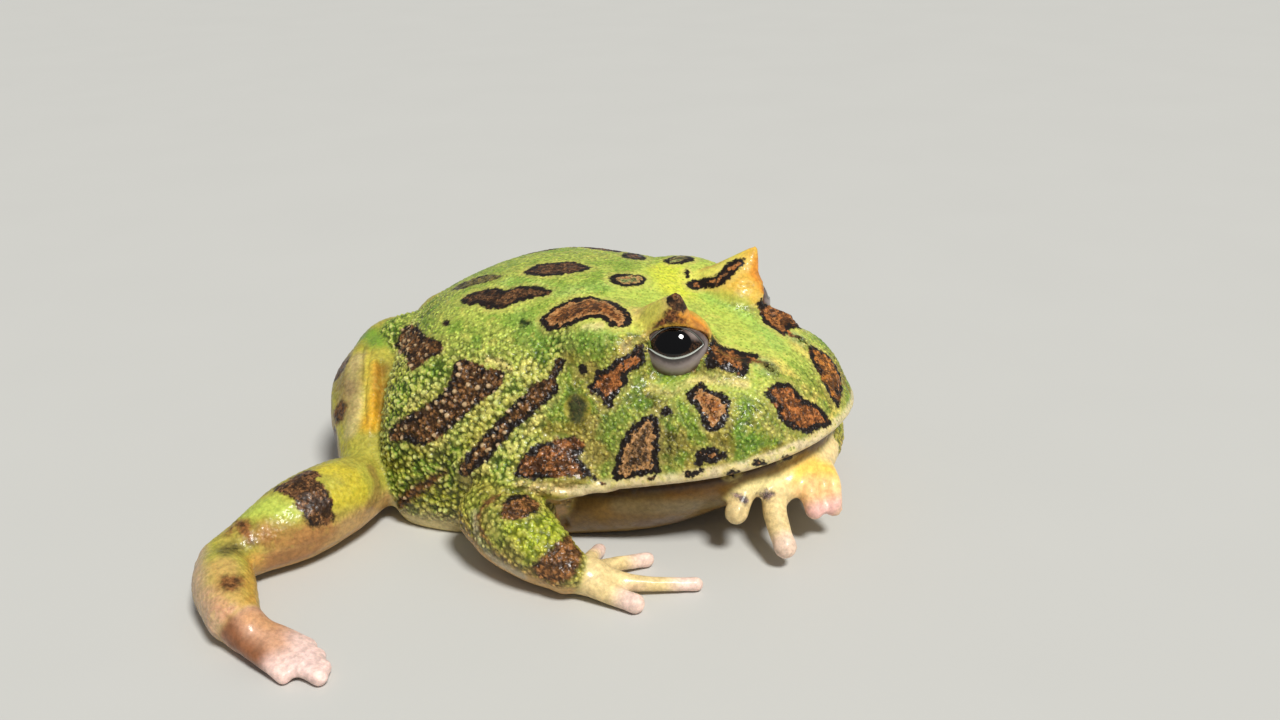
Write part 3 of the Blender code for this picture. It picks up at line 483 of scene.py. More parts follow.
def smooth_between(value, low, high):
    """0 below low, 1 above high and an even rise between them."""
    part = np.clip((value - low) / (high - low), 0.0, 1.0)
    return part * part * (3.0 - 2.0 * part)


def fall_between(value, low, high):
    """1 below low, 0 above high and an even fall between them."""
    return 1.0 - smooth_between(value, low, high)


def ridge(gap, middle, half_width, height):
    """A soft ridge at the middle, or a groove where height is below 0."""
    return height * np.exp(-((gap - middle) / half_width) ** 2)


def mixed(first, second, share):
    """Each row of first turned towards second by its share."""
    return first + (np.asarray(second) - first) * share[:, None]


def smooth_loop(points, parts):
    """Closed smooth curve through the points, with that many parts between each two of them."""
    corners = np.asarray(points, float)
    before, after = np.roll(corners, 1, 0), np.roll(corners, -1, 0)
    later = np.roll(corners, -2, 0)
    made = []
    for part in range(parts):
        t = part / parts
        made.append(0.5 * (2.0 * corners + (after - before) * t
                           + (2.0 * before - 5.0 * corners + 4.0 * after - later) * t ** 2
                           + (3.0 * corners - before - 3.0 * after + later) * t ** 3))
    return np.stack(made, 1).reshape(-1, corners.shape[1])


def scaled_mesh(name, points, faces):
    """New mesh in metres from points in millimetres."""
    mesh = bpy.data.meshes.new(name)
    mesh.from_pydata((np.asarray(points) * MM).tolist(), [], [tuple(face) for face in faces])
    mesh.validate()
    mesh.update()
    return mesh


def show(name, mesh, material, replaced=()):
    """Put a piece of the frog into the scene, on the body, and hide the solids that it stands for."""
    piece = bpy.data.objects.new(name, mesh)
    bpy.context.scene.collection.objects.link(piece)
    mesh.materials.clear()
    mesh.materials.append(material)
    mesh.shade_smooth()
    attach(piece, BODY)
    if replaced:
        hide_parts(*replaced)
    return piece


def give_numbers(mesh, name, values):
    """One number for each vertex, under a name that a material reads."""
    mesh.attributes.new(name, "FLOAT", "POINT").data.foreach_set("value", values.astype(np.float32))


def give_colours(mesh, name, values):
    """One colour for each vertex, under a name that a material reads."""
    rows = np.ones((len(values), 4), np.float32)
    rows[:, :3] = values
    mesh.attributes.new(name, "FLOAT_COLOR", "POINT").data.foreach_set("color", rows.ravel())


def nearest_distance(points, centres):
    """Distance from each point to its nearest centre, with that centre's number."""
    tree = KDTree(len(centres))
    for number, centre in enumerate(centres):
        tree.insert(centre, number)
    tree.balance()
    found = [tree.find(point)[1:] for point in points]
    return np.array([row[1] for row in found]), np.array([row[0] for row in found], int)


def even_spread(points, spacing, picks):
    """Centres over the surface, about one spacing apart and moved to the middle of what they hold."""
    order = picks.permutation(len(points))
    cells = np.floor(points[order] / spacing).astype(np.int64)
    cells -= cells.min(0)
    span = cells.max(0) + 1
    keys = (cells[:, 0] * span[1] + cells[:, 1]) * span[2] + cells[:, 2]
    centres = points[order[np.unique(keys, return_index=True)[1]]]
    sample = points[order[:SAMPLES_OF_CENTRE * len(centres)]]
    _, owner = nearest_distance(sample, centres)
    held = np.bincount(owner, minlength=len(centres))
    sums = [np.bincount(owner, weights=sample[:, axis], minlength=len(centres)) for axis in range(3)]
    middles = np.stack(sums, 1) / np.maximum(held, 1)[:, None]
    return np.where(held[:, None] > 1, middles, centres)


def line_distance(points, line):
    """Distance from each point to a line through the given points."""
    line = np.asarray(line, float)
    best = np.full(len(points), FAR)
    for start, end in zip(line[:-1], line[1:]):
        step = end - start
        along = np.clip((points - start) @ step / max(step @ step, TINY), 0.0, 1.0)
        gap = np.linalg.norm(points - start - along[:, None] * step, axis=1)
        best = np.minimum(best, gap)
    return best


def near_line(points, line, reach):
    """Numbers of the points that a line may be nearer to than reach."""
    low, high = np.min(line, 0) - reach, np.max(line, 0) + reach
    return np.flatnonzero(np.all((points > low) & (points < high), axis=1))


def outline_distance(flat, outline):
    """Distance from flat points to a closed outline, below 0 inside it."""
    best = np.full(len(flat), FAR)
    inside = np.zeros(len(flat), bool)
    ends = np.roll(outline, -1, 0)
    for (x0, y0), (x1, y1) in zip(outline, ends):
        dx, dy = x1 - x0, y1 - y0
        wx, wy = flat[:, 0] - x0, flat[:, 1] - y0
        along = np.clip((wx * dx + wy * dy) / max(dx * dx + dy * dy, TINY), 0.0, 1.0)
        best = np.minimum(best, (wx - along * dx) ** 2 + (wy - along * dy) ** 2)
        if abs(dy) > TINY:
            crossed = (y1 > flat[:, 1]) != (y0 > flat[:, 1])
            inside ^= crossed & (flat[:, 0] < x0 + dx * (flat[:, 1] - y0) / dy)
    return np.where(inside, -1.0, 1.0) * np.sqrt(best)


def both_sides(places, both=True):
    """One or more places and, if both, their mirror image on the animal's other side."""
    places = np.asarray(places, float)
    return (places, places * (-1.0, 1.0, 1.0)) if both else (places,)


def photo_axes():
    """Rightward, upward and forward direction of the photograph's camera."""
    view = Vector(CAMERA_VIEW).normalized()
    right = Vector(CAMERA_RIGHT).normalized()
    return right, right.cross(view), view


def eye_frame(side):
    """Centre, gaze, across and up of one eye.  side is -1 for the right one and 1 for the left."""
    mirror = np.array([-side, 1.0, 1.0])
    centre = np.array(EYE_CENTRE) * mirror
    gaze = np.array(EYE_GAZE) * mirror
    gaze /= np.linalg.norm(gaze)
    across = np.cross(gaze, (0.0, 0.0, 1.0))
    across /= np.linalg.norm(across)
    across *= -side
    up = np.cross(across, gaze) * -side
    return centre, gaze, across, up


def eye_angles(points, side):
    """Distance from the eye's centre, and degrees back along the head and up from its gaze."""
    centre, gaze, across, up = eye_frame(side)
    arm = points - centre
    reach = np.maximum(np.linalg.norm(arm, axis=1), TINY)
    ahead, aside, above = arm @ gaze / reach, arm @ across / reach, arm @ up / reach
    back = np.degrees(np.arcsin(np.clip(aside, -1.0, 1.0)))
    lift = np.degrees(np.arctan2(above, ahead))
    return reach, back, lift


def flesh_faces():
    """Points and faces of all the solids of flesh, with the region that owns each face."""
    points, faces, owners = [], [], []
    number = {name: index for index, group in enumerate(REGIONS.values()) for name in group}
    for name in FLESH_NODES:
        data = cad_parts[name].data
        start = len(points)
        points.extend(tuple(vert.co / MM) for vert in data.vertices)
        for face in data.polygons:
            faces.append(tuple(start + index for index in face.vertices))
            owners.append(number[name])
    return points, faces, owners


class PhotoRays:
    """Lays points that were traced on the photograph onto the solids."""

    # A point beside the animal moves towards the middle of its outline: how often, and by what share.
    tries = 12
    draw_in = 0.1

    def __init__(self):
        points, faces, _ = flesh_faces()
        self.tree = BVHTree.FromPolygons(points, faces)
        self.right, self.above, self.view = photo_axes()

    def hit(self, across, down):
        """Place and outward direction of the surface under one pixel, or None beside the animal."""
        ray = self.view + self.right * ((across - PHOTO_WIDTH / 2) / PHOTO_FOCAL)
        ray += self.above * ((PHOTO_HEIGHT / 2 - down) / PHOTO_FOCAL)
        place, normal, _, _ = self.tree.ray_cast(Vector(CAMERA_PLACE), ray.normalized())
        return None if place is None else (np.array(place), np.array(normal))

    def lay(self, name, crop, spots):
        """Places and directions under the spots.  One beside the animal is drawn in until it hits."""
        left, top, enlargement = crop
        pixels = np.array(spots, float) / enlargement + (left, top)
        middle = pixels.mean(0)
        places, facings = [], []
        for pixel in pixels:
            for _ in range(self.tries):
                found = self.hit(*pixel)
                if found:
                    places.append(found[0])
                    facings.append(found[1])
                    break
                pixel = pixel + (middle - pixel) * self.draw_in
        if not places:
            raise RuntimeError(f"the traced {name} lies beside the animal")
        return np.array(places), np.array(facings)

    def millimetres(self, pixels, places):
        """Length at the places that so many pixels show."""
        depth = float(np.mean((places - np.array(CAMERA_PLACE)) @ np.array(self.view)))
        return pixels * depth / PHOTO_FOCAL


# Skin: the surface


# Rounds of smoothing: facets of the whole skin, facets of the limbs, and the seams between the solids.
SMOOTH_AND_PUSH_BACK = (0.52, -0.545)
SEAM_STRENGTH = (0.4,)
WHOLE_ROUNDS, LIMB_ROUNDS, SEAM_ROUNDS = 16, 44, 10
LEAST_VERTICES = 1000
WELD = 1e-6


class SkinSurface:
    """Points, faces and joined edges of the skin while it is shaped, in millimetres."""

    def __init__(self, mesh):
        self.mesh = mesh
        count = len(mesh.vertices)
        points = np.empty(count * 3, np.float32)
        mesh.vertices.foreach_get("co", points)
        self.points = points.reshape(-1, 3).astype(float) / MM
        corners = np.empty(len(mesh.loops), np.int32)
        mesh.loops.foreach_get("vertex_index", corners)
        if len(corners) != 4 * len(mesh.polygons):
            raise RuntimeError("the skin has faces that aren't quads")
        self.quads = corners.reshape(-1, 4)
        edges = np.empty(len(mesh.edges) * 2, np.int32)
        mesh.edges.foreach_get("vertices", edges)
        self.edges = edges.reshape(-1, 2)
        self.count = count
        self.degree = np.bincount(self.edges.ravel(), minlength=count).astype(float)
        self.find_normals()

    def find_normals(self):
        """Outward direction at each vertex."""
        first = self.points[self.quads[:, 2]] - self.points[self.quads[:, 0]]
        second = self.points[self.quads[:, 3]] - self.points[self.quads[:, 1]]
        faces = np.cross(first, second)
        normals = np.zeros_like(self.points)
        for corner in range(4):
            for axis in range(3):
                normals[:, axis] += np.bincount(
                    self.quads[:, corner], weights=faces[:, axis], minlength=self.count)
        self.normals = normals / np.maximum(np.linalg.norm(normals, axis=1), TINY)[:, None]

    def neighbours_mean(self, values):
        """Mean of each vertex's neighbours, for one number or for rows of numbers."""
        start, end = self.edges[:, 0], self.edges[:, 1]
        if values.ndim == 1:
            total = np.bincount(start, weights=values[end], minlength=self.count)
            total += np.bincount(end, weights=values[start], minlength=self.count)
            return total / self.degree
        return np.stack([self.neighbours_mean(values[:, axis]) for axis in range(values.shape[1])], 1)

    def relax(self, rounds, share, strengths=SMOOTH_AND_PUSH_BACK):
        """Take out the facets.  With the usual strengths each round smooths and then pushes back."""
        for _ in range(rounds):
            for strength in strengths:
                self.points += (self.neighbours_mean(self.points) - self.points) * (
                    strength * share)[:, None]

    def soften(self, values, rounds):
        """Blur numbers or rows of numbers over the surface."""
        for _ in range(rounds):
            values = values + 0.5 * (self.neighbours_mean(values) - values)
        return values

    def gap_to(self, place):
        """Distance of each vertex from a place."""
        return np.linalg.norm(self.points - place, axis=1)

    def raise_by(self, height):
        """Move each vertex out by its height."""
        self.points += self.normals * height[:, None]

    def store(self):
        """Write the points back into the mesh."""
        self.mesh.vertices.foreach_set("co", (self.points * MM).astype(np.float32).ravel())
        self.mesh.update()


def with_modifier(mesh, kind, **settings):
    """New mesh from one that a modifier has changed.  The old mesh is removed."""
    holder = bpy.data.objects.new("holder", mesh)
    bpy.context.scene.collection.objects.link(holder)
    modifier = holder.modifiers.new(kind.lower(), kind)
    for name, value in settings.items():
        setattr(modifier, name, value)
    graph = bpy.context.evaluated_depsgraph_get()
    made = bpy.data.meshes.new_from_object(holder.evaluated_get(graph))
    bpy.data.objects.remove(holder)
    bpy.data.meshes.remove(mesh)
    return made


def join_flesh(voxel, growth):
    """One closed surface round all the solids of flesh, each made larger so that they meet."""
    whole = bmesh.new()
    for name in FLESH_NODES:
        solid = bmesh.new()
        solid.from_mesh(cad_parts[name].data)
        bmesh.ops.remove_doubles(solid, verts=solid.verts, dist=WELD)
        solid.normal_update()
        moves = [vert.normal * (growth * MM) for vert in solid.verts]
        for vert, move in zip(solid.verts, moves):
            vert.co += move
        scratch = bpy.data.meshes.new("scratch")
        solid.to_mesh(scratch)
        solid.free()
        whole.from_mesh(scratch)
        bpy.data.meshes.remove(scratch)
    mesh = bpy.data.meshes.new("flesh")
    whole.to_mesh(mesh)
    whole.free()
    return with_modifier(mesh, "REMESH", mode="VOXEL", voxel_size=voxel * MM, adaptivity=0.0)


def region_of(surface):
    """For each vertex, the number of the region whose solid is nearest."""
    points, faces, owners = flesh_faces()
    tree = BVHTree.FromPolygons(points, faces)
    return np.array([owners[tree.find_nearest(point)[2]] for point in surface.points])


def region_weight(surface, regions, names, rounds):
    """1 on the named regions, 0 on the others and a soft change between them."""
    numbers = [REGION_NAMES.index(name) for name in names]
    return surface.soften(np.isin(regions, numbers).astype(float), rounds)


def away_from_eyes(surface):
    """0.1 on the eyeballs' sockets and 1 clear of them."""
    gap = np.minimum(*(eye_angles(surface.points, side)[0] for side in (-1, 1)))
    return smooth_between(gap, EYE_RADIUS, EYE_RADIUS + 1.0) * 0.9 + 0.1


def border(weight):
    """1 where a region meets its neighbours and 0 inside and outside it."""
    return np.clip(4.0 * weight * (1.0 - weight), 0.0, 1.0)


def smooth_flesh(mesh, growth):
    """Take the facets out of the joined surface, fill its seams softly and double its faces."""
    surface = SkinSurface(mesh)
    if surface.count < LEAST_VERTICES:
        raise RuntimeError("the solids of flesh didn't join into a skin")
    clear = away_from_eyes(surface)
    surface.relax(WHOLE_ROUNDS, clear)
    regions = region_of(surface)
    surface.relax(LIMB_ROUNDS, region_weight(surface, regions, ("leg", "arm"), 5) * clear)
    trunk = border(region_weight(surface, regions, ("head", "horn", "jaw", "torso"), 7))
    neck = border(region_weight(surface, regions, ("torso",), 7))
    surface.relax(SEAM_ROUNDS, np.maximum(trunk, 0.7 * neck) * clear, SEAM_STRENGTH)
    surface.find_normals()
    surface.raise_by(np.full(surface.count, -growth * 0.9))
    surface.store()
    return SkinSurface(with_modifier(surface.mesh, "SUBSURF", levels=1, render_levels=1))


# Skin: its forms


def in_outline(back, lift, outline):
    """Degrees from a closed outline round the gaze, below 0 inside it."""
    return outline_distance(np.stack([back, lift], 1), smooth_loop(outline, 6))


def clear_eyes(surface):
    """Push any skin that is inside an eyeball out to its surface."""
    for side in (-1, 1):
        centre = eye_frame(side)[0]
        reach = surface.gap_to(centre)
        inside = np.flatnonzero(reach < EYE_RADIUS + EYE_GAP)
        scale = (EYE_RADIUS + EYE_GAP) / reach[inside]
        surface.points[inside] = centre + (surface.points[inside] - centre) * scale[:, None]


def open_eyes(surface):
    """Clear the skin off both eyeballs and lay it behind the lower lids."""
    under = EYE_RADIUS + EYE_GAP
    for side in (-1, 1):
        reach, back, lift = eye_angles(surface.points, side)
        near = np.flatnonzero(reach < EYE_RADIUS + 6.0)
        centre = eye_frame(side)[0]
        arm = surface.points[near] - centre
        gap, lift, back = reach[near], lift[near], back[near]
        sunk = fall_between(in_outline(back, lift, LID_FOOT), -6.0, 1.0) * fall_between(lift, 12.0, 26.0)
        sunk *= fall_between(gap, EYE_RADIUS + 2.8, EYE_RADIUS + 5.8)
        target = np.maximum(gap + (under - gap) * sunk, under)
        surface.points[near] = centre + arm * (target / gap)[:, None]


def mouth_drop(points):
    """Height of each point above the mouth line."""
    line = np.array(MOUTH_LINE)
    return points[:, 2] - np.interp(points[:, 1], line[:, 0], line[:, 1])


def before_corner(surface, start, end):
    """1 along the mouth, falling to 0 at its corner.  start and end are measured from the corner."""
    return fall_between(surface.points[:, 1], MOUTH_CORNER_Y + start, MOUTH_CORNER_Y + end)


def cut_mouth(surface, on_head):
    """Roll the upper lip out over a narrow groove."""
    drop = mouth_drop(surface.points)
    outward = smooth_between(1.0 - np.abs(surface.normals[:, 2]), 0.05, 0.3)
    fade = on_head * before_corner(surface, -4.0, 0.0)
    surface.raise_by((ridge(drop, *LIP) + ridge(drop, *MOUTH_GROOVE)) * fade * outward)


def nostril_places(surface):
    """The point of the skin nearest to each nostril."""
    return [surface.points[surface.gap_to(place).argmin()] for place in both_sides(NOSTRIL)]


def open_nostrils(surface):
    """Small round holes, each with a raised crescent of skin on its upper side."""
    height = np.zeros(surface.count)
    for place in nostril_places(surface):
        arm = surface.points - place
        gap = surface.gap_to(place)
        upper = 0.45 + 0.55 * smooth_between(arm[:, 2] - 0.4 * arm[:, 1], -0.8, 0.8)
        height += upper * ridge(gap, *NOSTRIL_RIM) + ridge(gap, *NOSTRIL_HOLE)
    surface.raise_by(height)


def raise_folds(surface, rays):
    """Folds of loose skin over the arm, at the hip, on the shoulder and round the horns."""
    height = np.zeros(surface.count)
    for name, crop, width, rise, both, spots in FOLDS:
        places, _ = rays.lay(name, crop, spots)
        for line in both_sides(places, both):
            near = near_line(surface.points, line, 3.0 * width)
            height[near] += ridge(line_distance(surface.points[near], line), 0.0, width, rise)
    surface.raise_by(height)


def wart_zones(surface, weights):
    """How strongly each vertex carries grains, larger warts and speckles, from 0 to 1."""
    _, y, z = surface.points.T
    up = surface.soften(surface.normals[:, 2], 10)
    not_below = smooth_between(up, -0.45, -0.05)
    back = smooth_between(up, 0.62, 0.93) * smooth_between(z, 26.0, 34.0)
    grain = sum(level * weights[name] for name, level in GRAIN_OF_REGION.items())
    grain = grain * not_below * (1.0 - 0.7 * back)
    lip = ridge(mouth_drop(surface.points), 0.8, 2.0, 1.0) * (y < MOUTH_CORNER_Y)
    grain *= 1.0 - lip * round_mouth(weights)
    for place in both_sides(EARDRUM):
        grain *= smooth_between(surface.gap_to(place), 1.8, 3.4)
    wart = weights["torso"] * not_below * (1.0 - back) * smooth_between(y, -16.0, -4.0)
    speckled = sum(level * weights[name] for name, level in SPECKLE_OF_REGION.items()) * not_below
    return grain, wart, speckled


def raise_warts(surface, grain, wart, settings):
    """Grains and warts as real bumps.  Returns how high each vertex stands on each, from 0 to 1."""
    picks = np.random.default_rng(SEED)
    base = surface.points.copy()
    height = np.zeros(surface.count)
    tops = []
    # Each layer: spacing, largest radius as a share of it, share of the bumps that are kept, height, zone.
    layers = (
        (settings.grain_spacing / MM, 0.62, 0.97, settings.grain_height / MM, grain),
        (settings.wart_spacing / MM, 0.34, 0.75, settings.wart_height / MM, wart),
    )
    for spacing, reach, kept, rise, zone in layers:
        centres = even_spread(base, spacing, picks)
        sizes = picks.uniform(0.45, 1.05, len(centres)) * (picks.random(len(centres)) < kept)
        carrier = np.flatnonzero(zone > 0.04)
        gap, which = nearest_distance(base[carrier], centres)
        wide = np.maximum(reach * spacing * sizes[which], LEAST_RADIUS)
        dome = np.clip(1.0 - (gap / wide) ** 2, 0.0, 1.0) ** 1.2
        strength = np.zeros(surface.count)
        strength[carrier] = dome * np.sqrt(zone[carrier])
        height[carrier] += rise * dome * zone[carrier] * (0.45 + 0.55 * sizes[which])
        tops.append(strength)
    surface.raise_by(height)
    return tops


# Skin: its colours


def round_mouth(weights):
    """1 on the head and the jaw, where the lip and the mouth are painted."""
    return np.clip(weights["head"] + weights["jaw"], 0.0, 1.0)


def paint_regions(surface, weights, colours):
    """Ground colour by region and by how far the skin faces up."""
    z = surface.points[:, 2]
    up = surface.soften(surface.normals[:, 2], 40)
    paint = np.tile(np.array(colours.flank), (surface.count, 1))
    paint = mixed(paint, colours.back, smooth_between(up, 0.35, 0.85))
    paint = mixed(paint, colours.face, weights["head"] * fall_between(up, 0.45, 0.8))
    under = np.clip(smooth_between(-up, 0.1, 0.55) + fall_between(z, 3.0, 8.0), 0.0, 1.0)
    paint = mixed(paint, colours.belly, under * (weights["torso"] + weights["head"]))
    # Throat: its own olive-brown, darkened with painted shade under the jaw.
    paint = mixed(paint, colours.throat, weights["jaw"])
    for name, top, side in (
        ("arm", colours.limb_top, colours.limb_under),
        ("leg", colours.limb_top, colours.limb_under),
        ("hand_right", colours.hand, colours.hand),
        ("hand_left", colours.hand, colours.hand),
        ("foot", colours.foot, colours.foot),
        ("horn", colours.horn, colours.horn),
    ):
        shade = mixed(np.tile(np.array(side), (surface.count, 1)), top, smooth_between(up, -0.15, 0.45))
        paint += (shade - paint) * weights[name][:, None]
    return paint


def paint_tints(surface, paint, regions, rays):
    """Change the paint to soft patches of colour along the lines of TINTS."""
    there = {name: region_weight(surface, regions, group, 10) for name, group in GROUP_OF_TINT.items()}
    for name, crop, region, strength, both, pixels, colour, spots in TINTS:
        places, _ = rays.lay(name, crop, spots)
        radius = rays.millimetres(pixels, places)
        for line in both_sides(places, both):
            near = near_line(surface.points, line, 1.7 * radius)
            gap = line_distance(surface.points[near], line)
            share = strength * fall_between(gap, 0.35 * radius, 1.7 * radius)
            paint[near] = mixed(paint[near], srgb(*colour), share * there[region][near])


def paint_mouth(surface, paint, weights, colours):
    """Pale upper lip, with painted shade in a band under it."""
    drop = mouth_drop(surface.points)
    here = round_mouth(weights)
    lip = smooth_between(drop, -0.6, -0.1) * fall_between(drop, 2.3, 3.1) * here
    paint = mixed(paint, colours.lip, 0.92 * lip * before_corner(surface, -5.0, 0.0))
    # Painted shade under the overhanging lip.
    shade = smooth_between(drop, -3.4, -1.2) * fall_between(drop, -0.5, 0.0) * here
    return mixed(paint, colours.mouth, 0.9 * shade * before_corner(surface, -4.0, 2.0))


def paint_ends(surface, paint, regions, colours):
    """Pale ends of the fingers and toes, pale skin round the nostrils and painted shade in the nostril
    holes.
    """
    ends = region_weight(surface, regions, ("hand_right", "hand_left", "foot"), 6)
    for place, radius in TIPS:
        near = fall_between(surface.gap_to(place), 0.3 * radius, radius)
        paint = mixed(paint, colours.tip, 0.85 * ends * near)
    for place in nostril_places(surface):
        gap = surface.gap_to(place)
        paint = mixed(paint, colours.nostril, 0.7 * fall_between(gap, 1.6, 3.6))
        # Painted shade in the nostril holes, in the colour of the shade under the lip.
        paint = mixed(paint, colours.mouth, fall_between(gap, 0.8, 1.4))
    return paint


def paint_lids(surface, paint, colours):
    """Change the paint to brown round the lids, and to painted shade inside their free edge, where the lids
    meet the eyeball.
    """
    for side in (-1, 1):
        reach, back, lift = eye_angles(surface.points, side)
        near = np.flatnonzero(reach < EYE_RADIUS + 2.5)
        reach, back, lift = reach[near], back[near], lift[near]
        ring = fall_between(np.abs(in_outline(back, lift, LID_FOOT)), 3.0, 9.0)
        ring *= fall_between(reach, EYE_RADIUS + 0.3, EYE_RADIUS + 2.0)
        paint[near] = mixed(paint[near], colours.lid_ring, 0.8 * ring)
        # Painted shade inside the lids' free edge, in the dark colour of the markings' rims.
        inner = (in_outline(back, lift, LID_EDGE) < 2.0) & (reach < EYE_RADIUS + 0.8)
        paint[near] = mixed(paint[near], colours.rim, inner.astype(float))


def paint_ground(surface, regions, weights, rays, colours):
    """Ground colour of the skin, before its markings."""
    paint = paint_regions(surface, weights, colours)
    paint_tints(surface, paint, regions, rays)
    paint = paint_mouth(surface, paint, weights, colours)
    paint = paint_ends(surface, paint, regions, colours)
    paint_lids(surface, paint, colours)
    return paint


class Markings:
    """Each vertex's distance to its nearest marking, below 0 inside it, with its tone, rim and softness."""

    # Distance of skin without a marking, and how far round a traced marking or a spot it is measured.
    unmarked = 6.0
    margin = 5.0
    spot_margin = 4.0
    # Points of an outline that lie farther than this from its middle are left out.
    span = 26.0
    # How far off the flat outline the skin may lie, and how squarely it has to face the outline's way.
    depth = 6.5
    least_facing = 0.12
    # Softness of unmarked skin, and darkness of the rim of a spot.
    usual_softness = 0.3
    spot_rim = 0.4

    def __init__(self, surface):
        self.surface = surface
        self.edge = np.full(surface.count, self.unmarked)
        self.tone = np.tile(np.array(TONES["umber"]), (surface.count, 1))
        self.rim = np.zeros(surface.count)
        self.soft = np.full(surface.count, self.usual_softness)

    def lay(self, chosen, distance, tone, rim, softness):
        """Give a marking to the chosen vertices that have no nearer one."""
        nearer = distance < self.edge[chosen]
        hit = chosen[nearer]
        self.edge[hit] = distance[nearer]
        self.tone[hit] = TONES[tone]
        self.rim[hit] = rim
        self.soft[hit] = softness

    def lay_traced(self, rays):
        """The markings whose outlines were traced, each as a flat shape that is laid on the skin."""
        points, normals = self.surface.points, self.surface.normals
        for name, crop, tone, rim, softness, both, spots in MARKINGS:
            places, facings = rays.lay(name, crop, spots)
            kept = np.linalg.norm(places - np.median(places, 0), axis=1) < self.span
            normal = facings.sum(0)
            normal /= np.linalg.norm(normal)
            middle = places[kept].mean(0)
            along = np.array([0.0, 1.0, 0.0]) - normal[1] * normal
            along /= np.linalg.norm(along)
            across = np.cross(normal, along)
            arm = places[kept] - middle
            outline = smooth_loop(np.stack([arm @ along, arm @ across], 1), 3)
            size = np.linalg.norm(outline, axis=1).max() + self.margin
            for side in (1.0, -1.0) if both else (1.0,):
                turn = np.array([side, 1.0, 1.0])
                near = near_line(points, [middle * turn], size)
                arm = points[near] * turn - middle
                facing = (normals[near] * turn) @ normal
                chosen = (np.abs(arm @ normal) < self.depth) & (facing > self.least_facing)
                arm, near = arm[chosen], near[chosen]
                flat = np.stack([arm @ along, arm @ across], 1)
                self.lay(near, outline_distance(flat, outline), tone, rim, softness)

    def lay_spots(self):
        """The round spots of SPOTS."""
        for tone, softness, centre, radius in SPOTS:
            gap = self.surface.gap_to(centre) - radius
            chosen = np.flatnonzero(gap < self.spot_margin)
            self.lay(chosen, gap[chosen], tone, self.spot_rim, softness)


# Materials


class NodeSheet:
    """A material's nodes, with short calls that add them and join them."""

    def __init__(self, name):
        self.material = bpy.data.materials.new(name)
        self.material.use_nodes = True
        self.tree = self.material.node_tree
        self.shader = next(node for node in self.tree.nodes if node.type == "BSDF_PRINCIPLED")

    def set(self, **values):
        """Constant values on the shader's own sockets."""
        for name, value in values.items():
            self.shader.inputs[name.replace("_", " ")].default_value = value

    def add(self, kind, inputs=None, **settings):
        """A node with some of its inputs fed and its settings made."""
        node = self.tree.nodes.new(kind)
        for name, value in settings.items():
            setattr(node, name, value)
        for key, value in (inputs or {}).items():
            self.feed(node.inputs[key], value)
        return node

    def feed(self, socket, value):
        """A socket takes another node's output or a plain value."""
        if isinstance(value, bpy.types.NodeSocket):
            self.tree.links.new(value, socket)
        else:
            socket.default_value = value

    def number(self, name):
        """A number that the mesh holds for each vertex."""
        return self.add("ShaderNodeAttribute", attribute_name=name).outputs["Fac"]

    def colour(self, name):
        """A colour that the mesh holds for each vertex."""
        return self.add("ShaderNodeAttribute", attribute_name=name).outputs["Color"]

    def place(self):
        """Position on the frog in millimetres."""
        where = self.add("ShaderNodeTexCoord").outputs["Object"]
        return self.add("ShaderNodeVectorMath", {0: where, 3: 1.0 / MM}, operation="SCALE").outputs[0]

    def maths(self, operation, first, second=0.0, third=0.0):
        """One sum on numbers."""
        return self.add(
            "ShaderNodeMath", {0: first, 1: second, 2: third}, operation=operation).outputs[0]

    def product(self, first, *others):
        """All the values multiplied together."""
        for other in others:
            first = self.maths("MULTIPLY", first, other)
        return first

    def fall(self, value, low, high):
        """A smooth change from 1 to 0 as value goes from low to high."""
        return self.step(value, low, high, 1.0, 0.0)

    def step(self, value, low, high, start=0.0, end=1.0):
        """A smooth change from start to end as value goes from low to high."""
        return self.add(
            "ShaderNodeMapRange",
            {"Value": value, "From Min": low, "From Max": high, "To Min": start, "To Max": end},
            interpolation_type="SMOOTHSTEP").outputs["Result"]

    def scaled(self, colour, amount):
        """A colour made lighter or darker."""
        return self.add("ShaderNodeVectorMath", {0: colour, 3: amount}, operation="SCALE").outputs[0]

    def blend(self, share, first, second, mode="MIX"):
        """The first colour turned towards the second by the share."""
        node = self.add("ShaderNodeMix", data_type="RGBA", blend_type=mode)
        self.feed(node.inputs[0], share)
        for socket, value in ((node.inputs[6], first), (node.inputs[7], second)):
            self.feed(socket, value if isinstance(value, bpy.types.NodeSocket) else (*value, 1.0))
        return node.outputs[2]

    def noise(self, where, scale, detail=3.0, roughness=0.55):
        """Cloudy noise with so many clouds to the millimetre."""
        return self.add(
            "ShaderNodeTexNoise",
            {"Vector": where, "Scale": scale, "Detail": detail, "Roughness": roughness}).outputs["Fac"]

    def cells(self, where, scale):
        """Distance from the middle of a random cell."""
        return self.add("ShaderNodeTexVoronoi", {"Vector": where, "Scale": scale}).outputs["Distance"]

    def bump(self, height, strength, distance, normal=None):
        """Fine relief with a distance in millimetres."""
        inputs = {"Height": height, "Strength": strength, "Distance": distance * MM}
        if normal is not None:
            inputs["Normal"] = normal
        return self.add("ShaderNodeBump", inputs).outputs["Normal"]


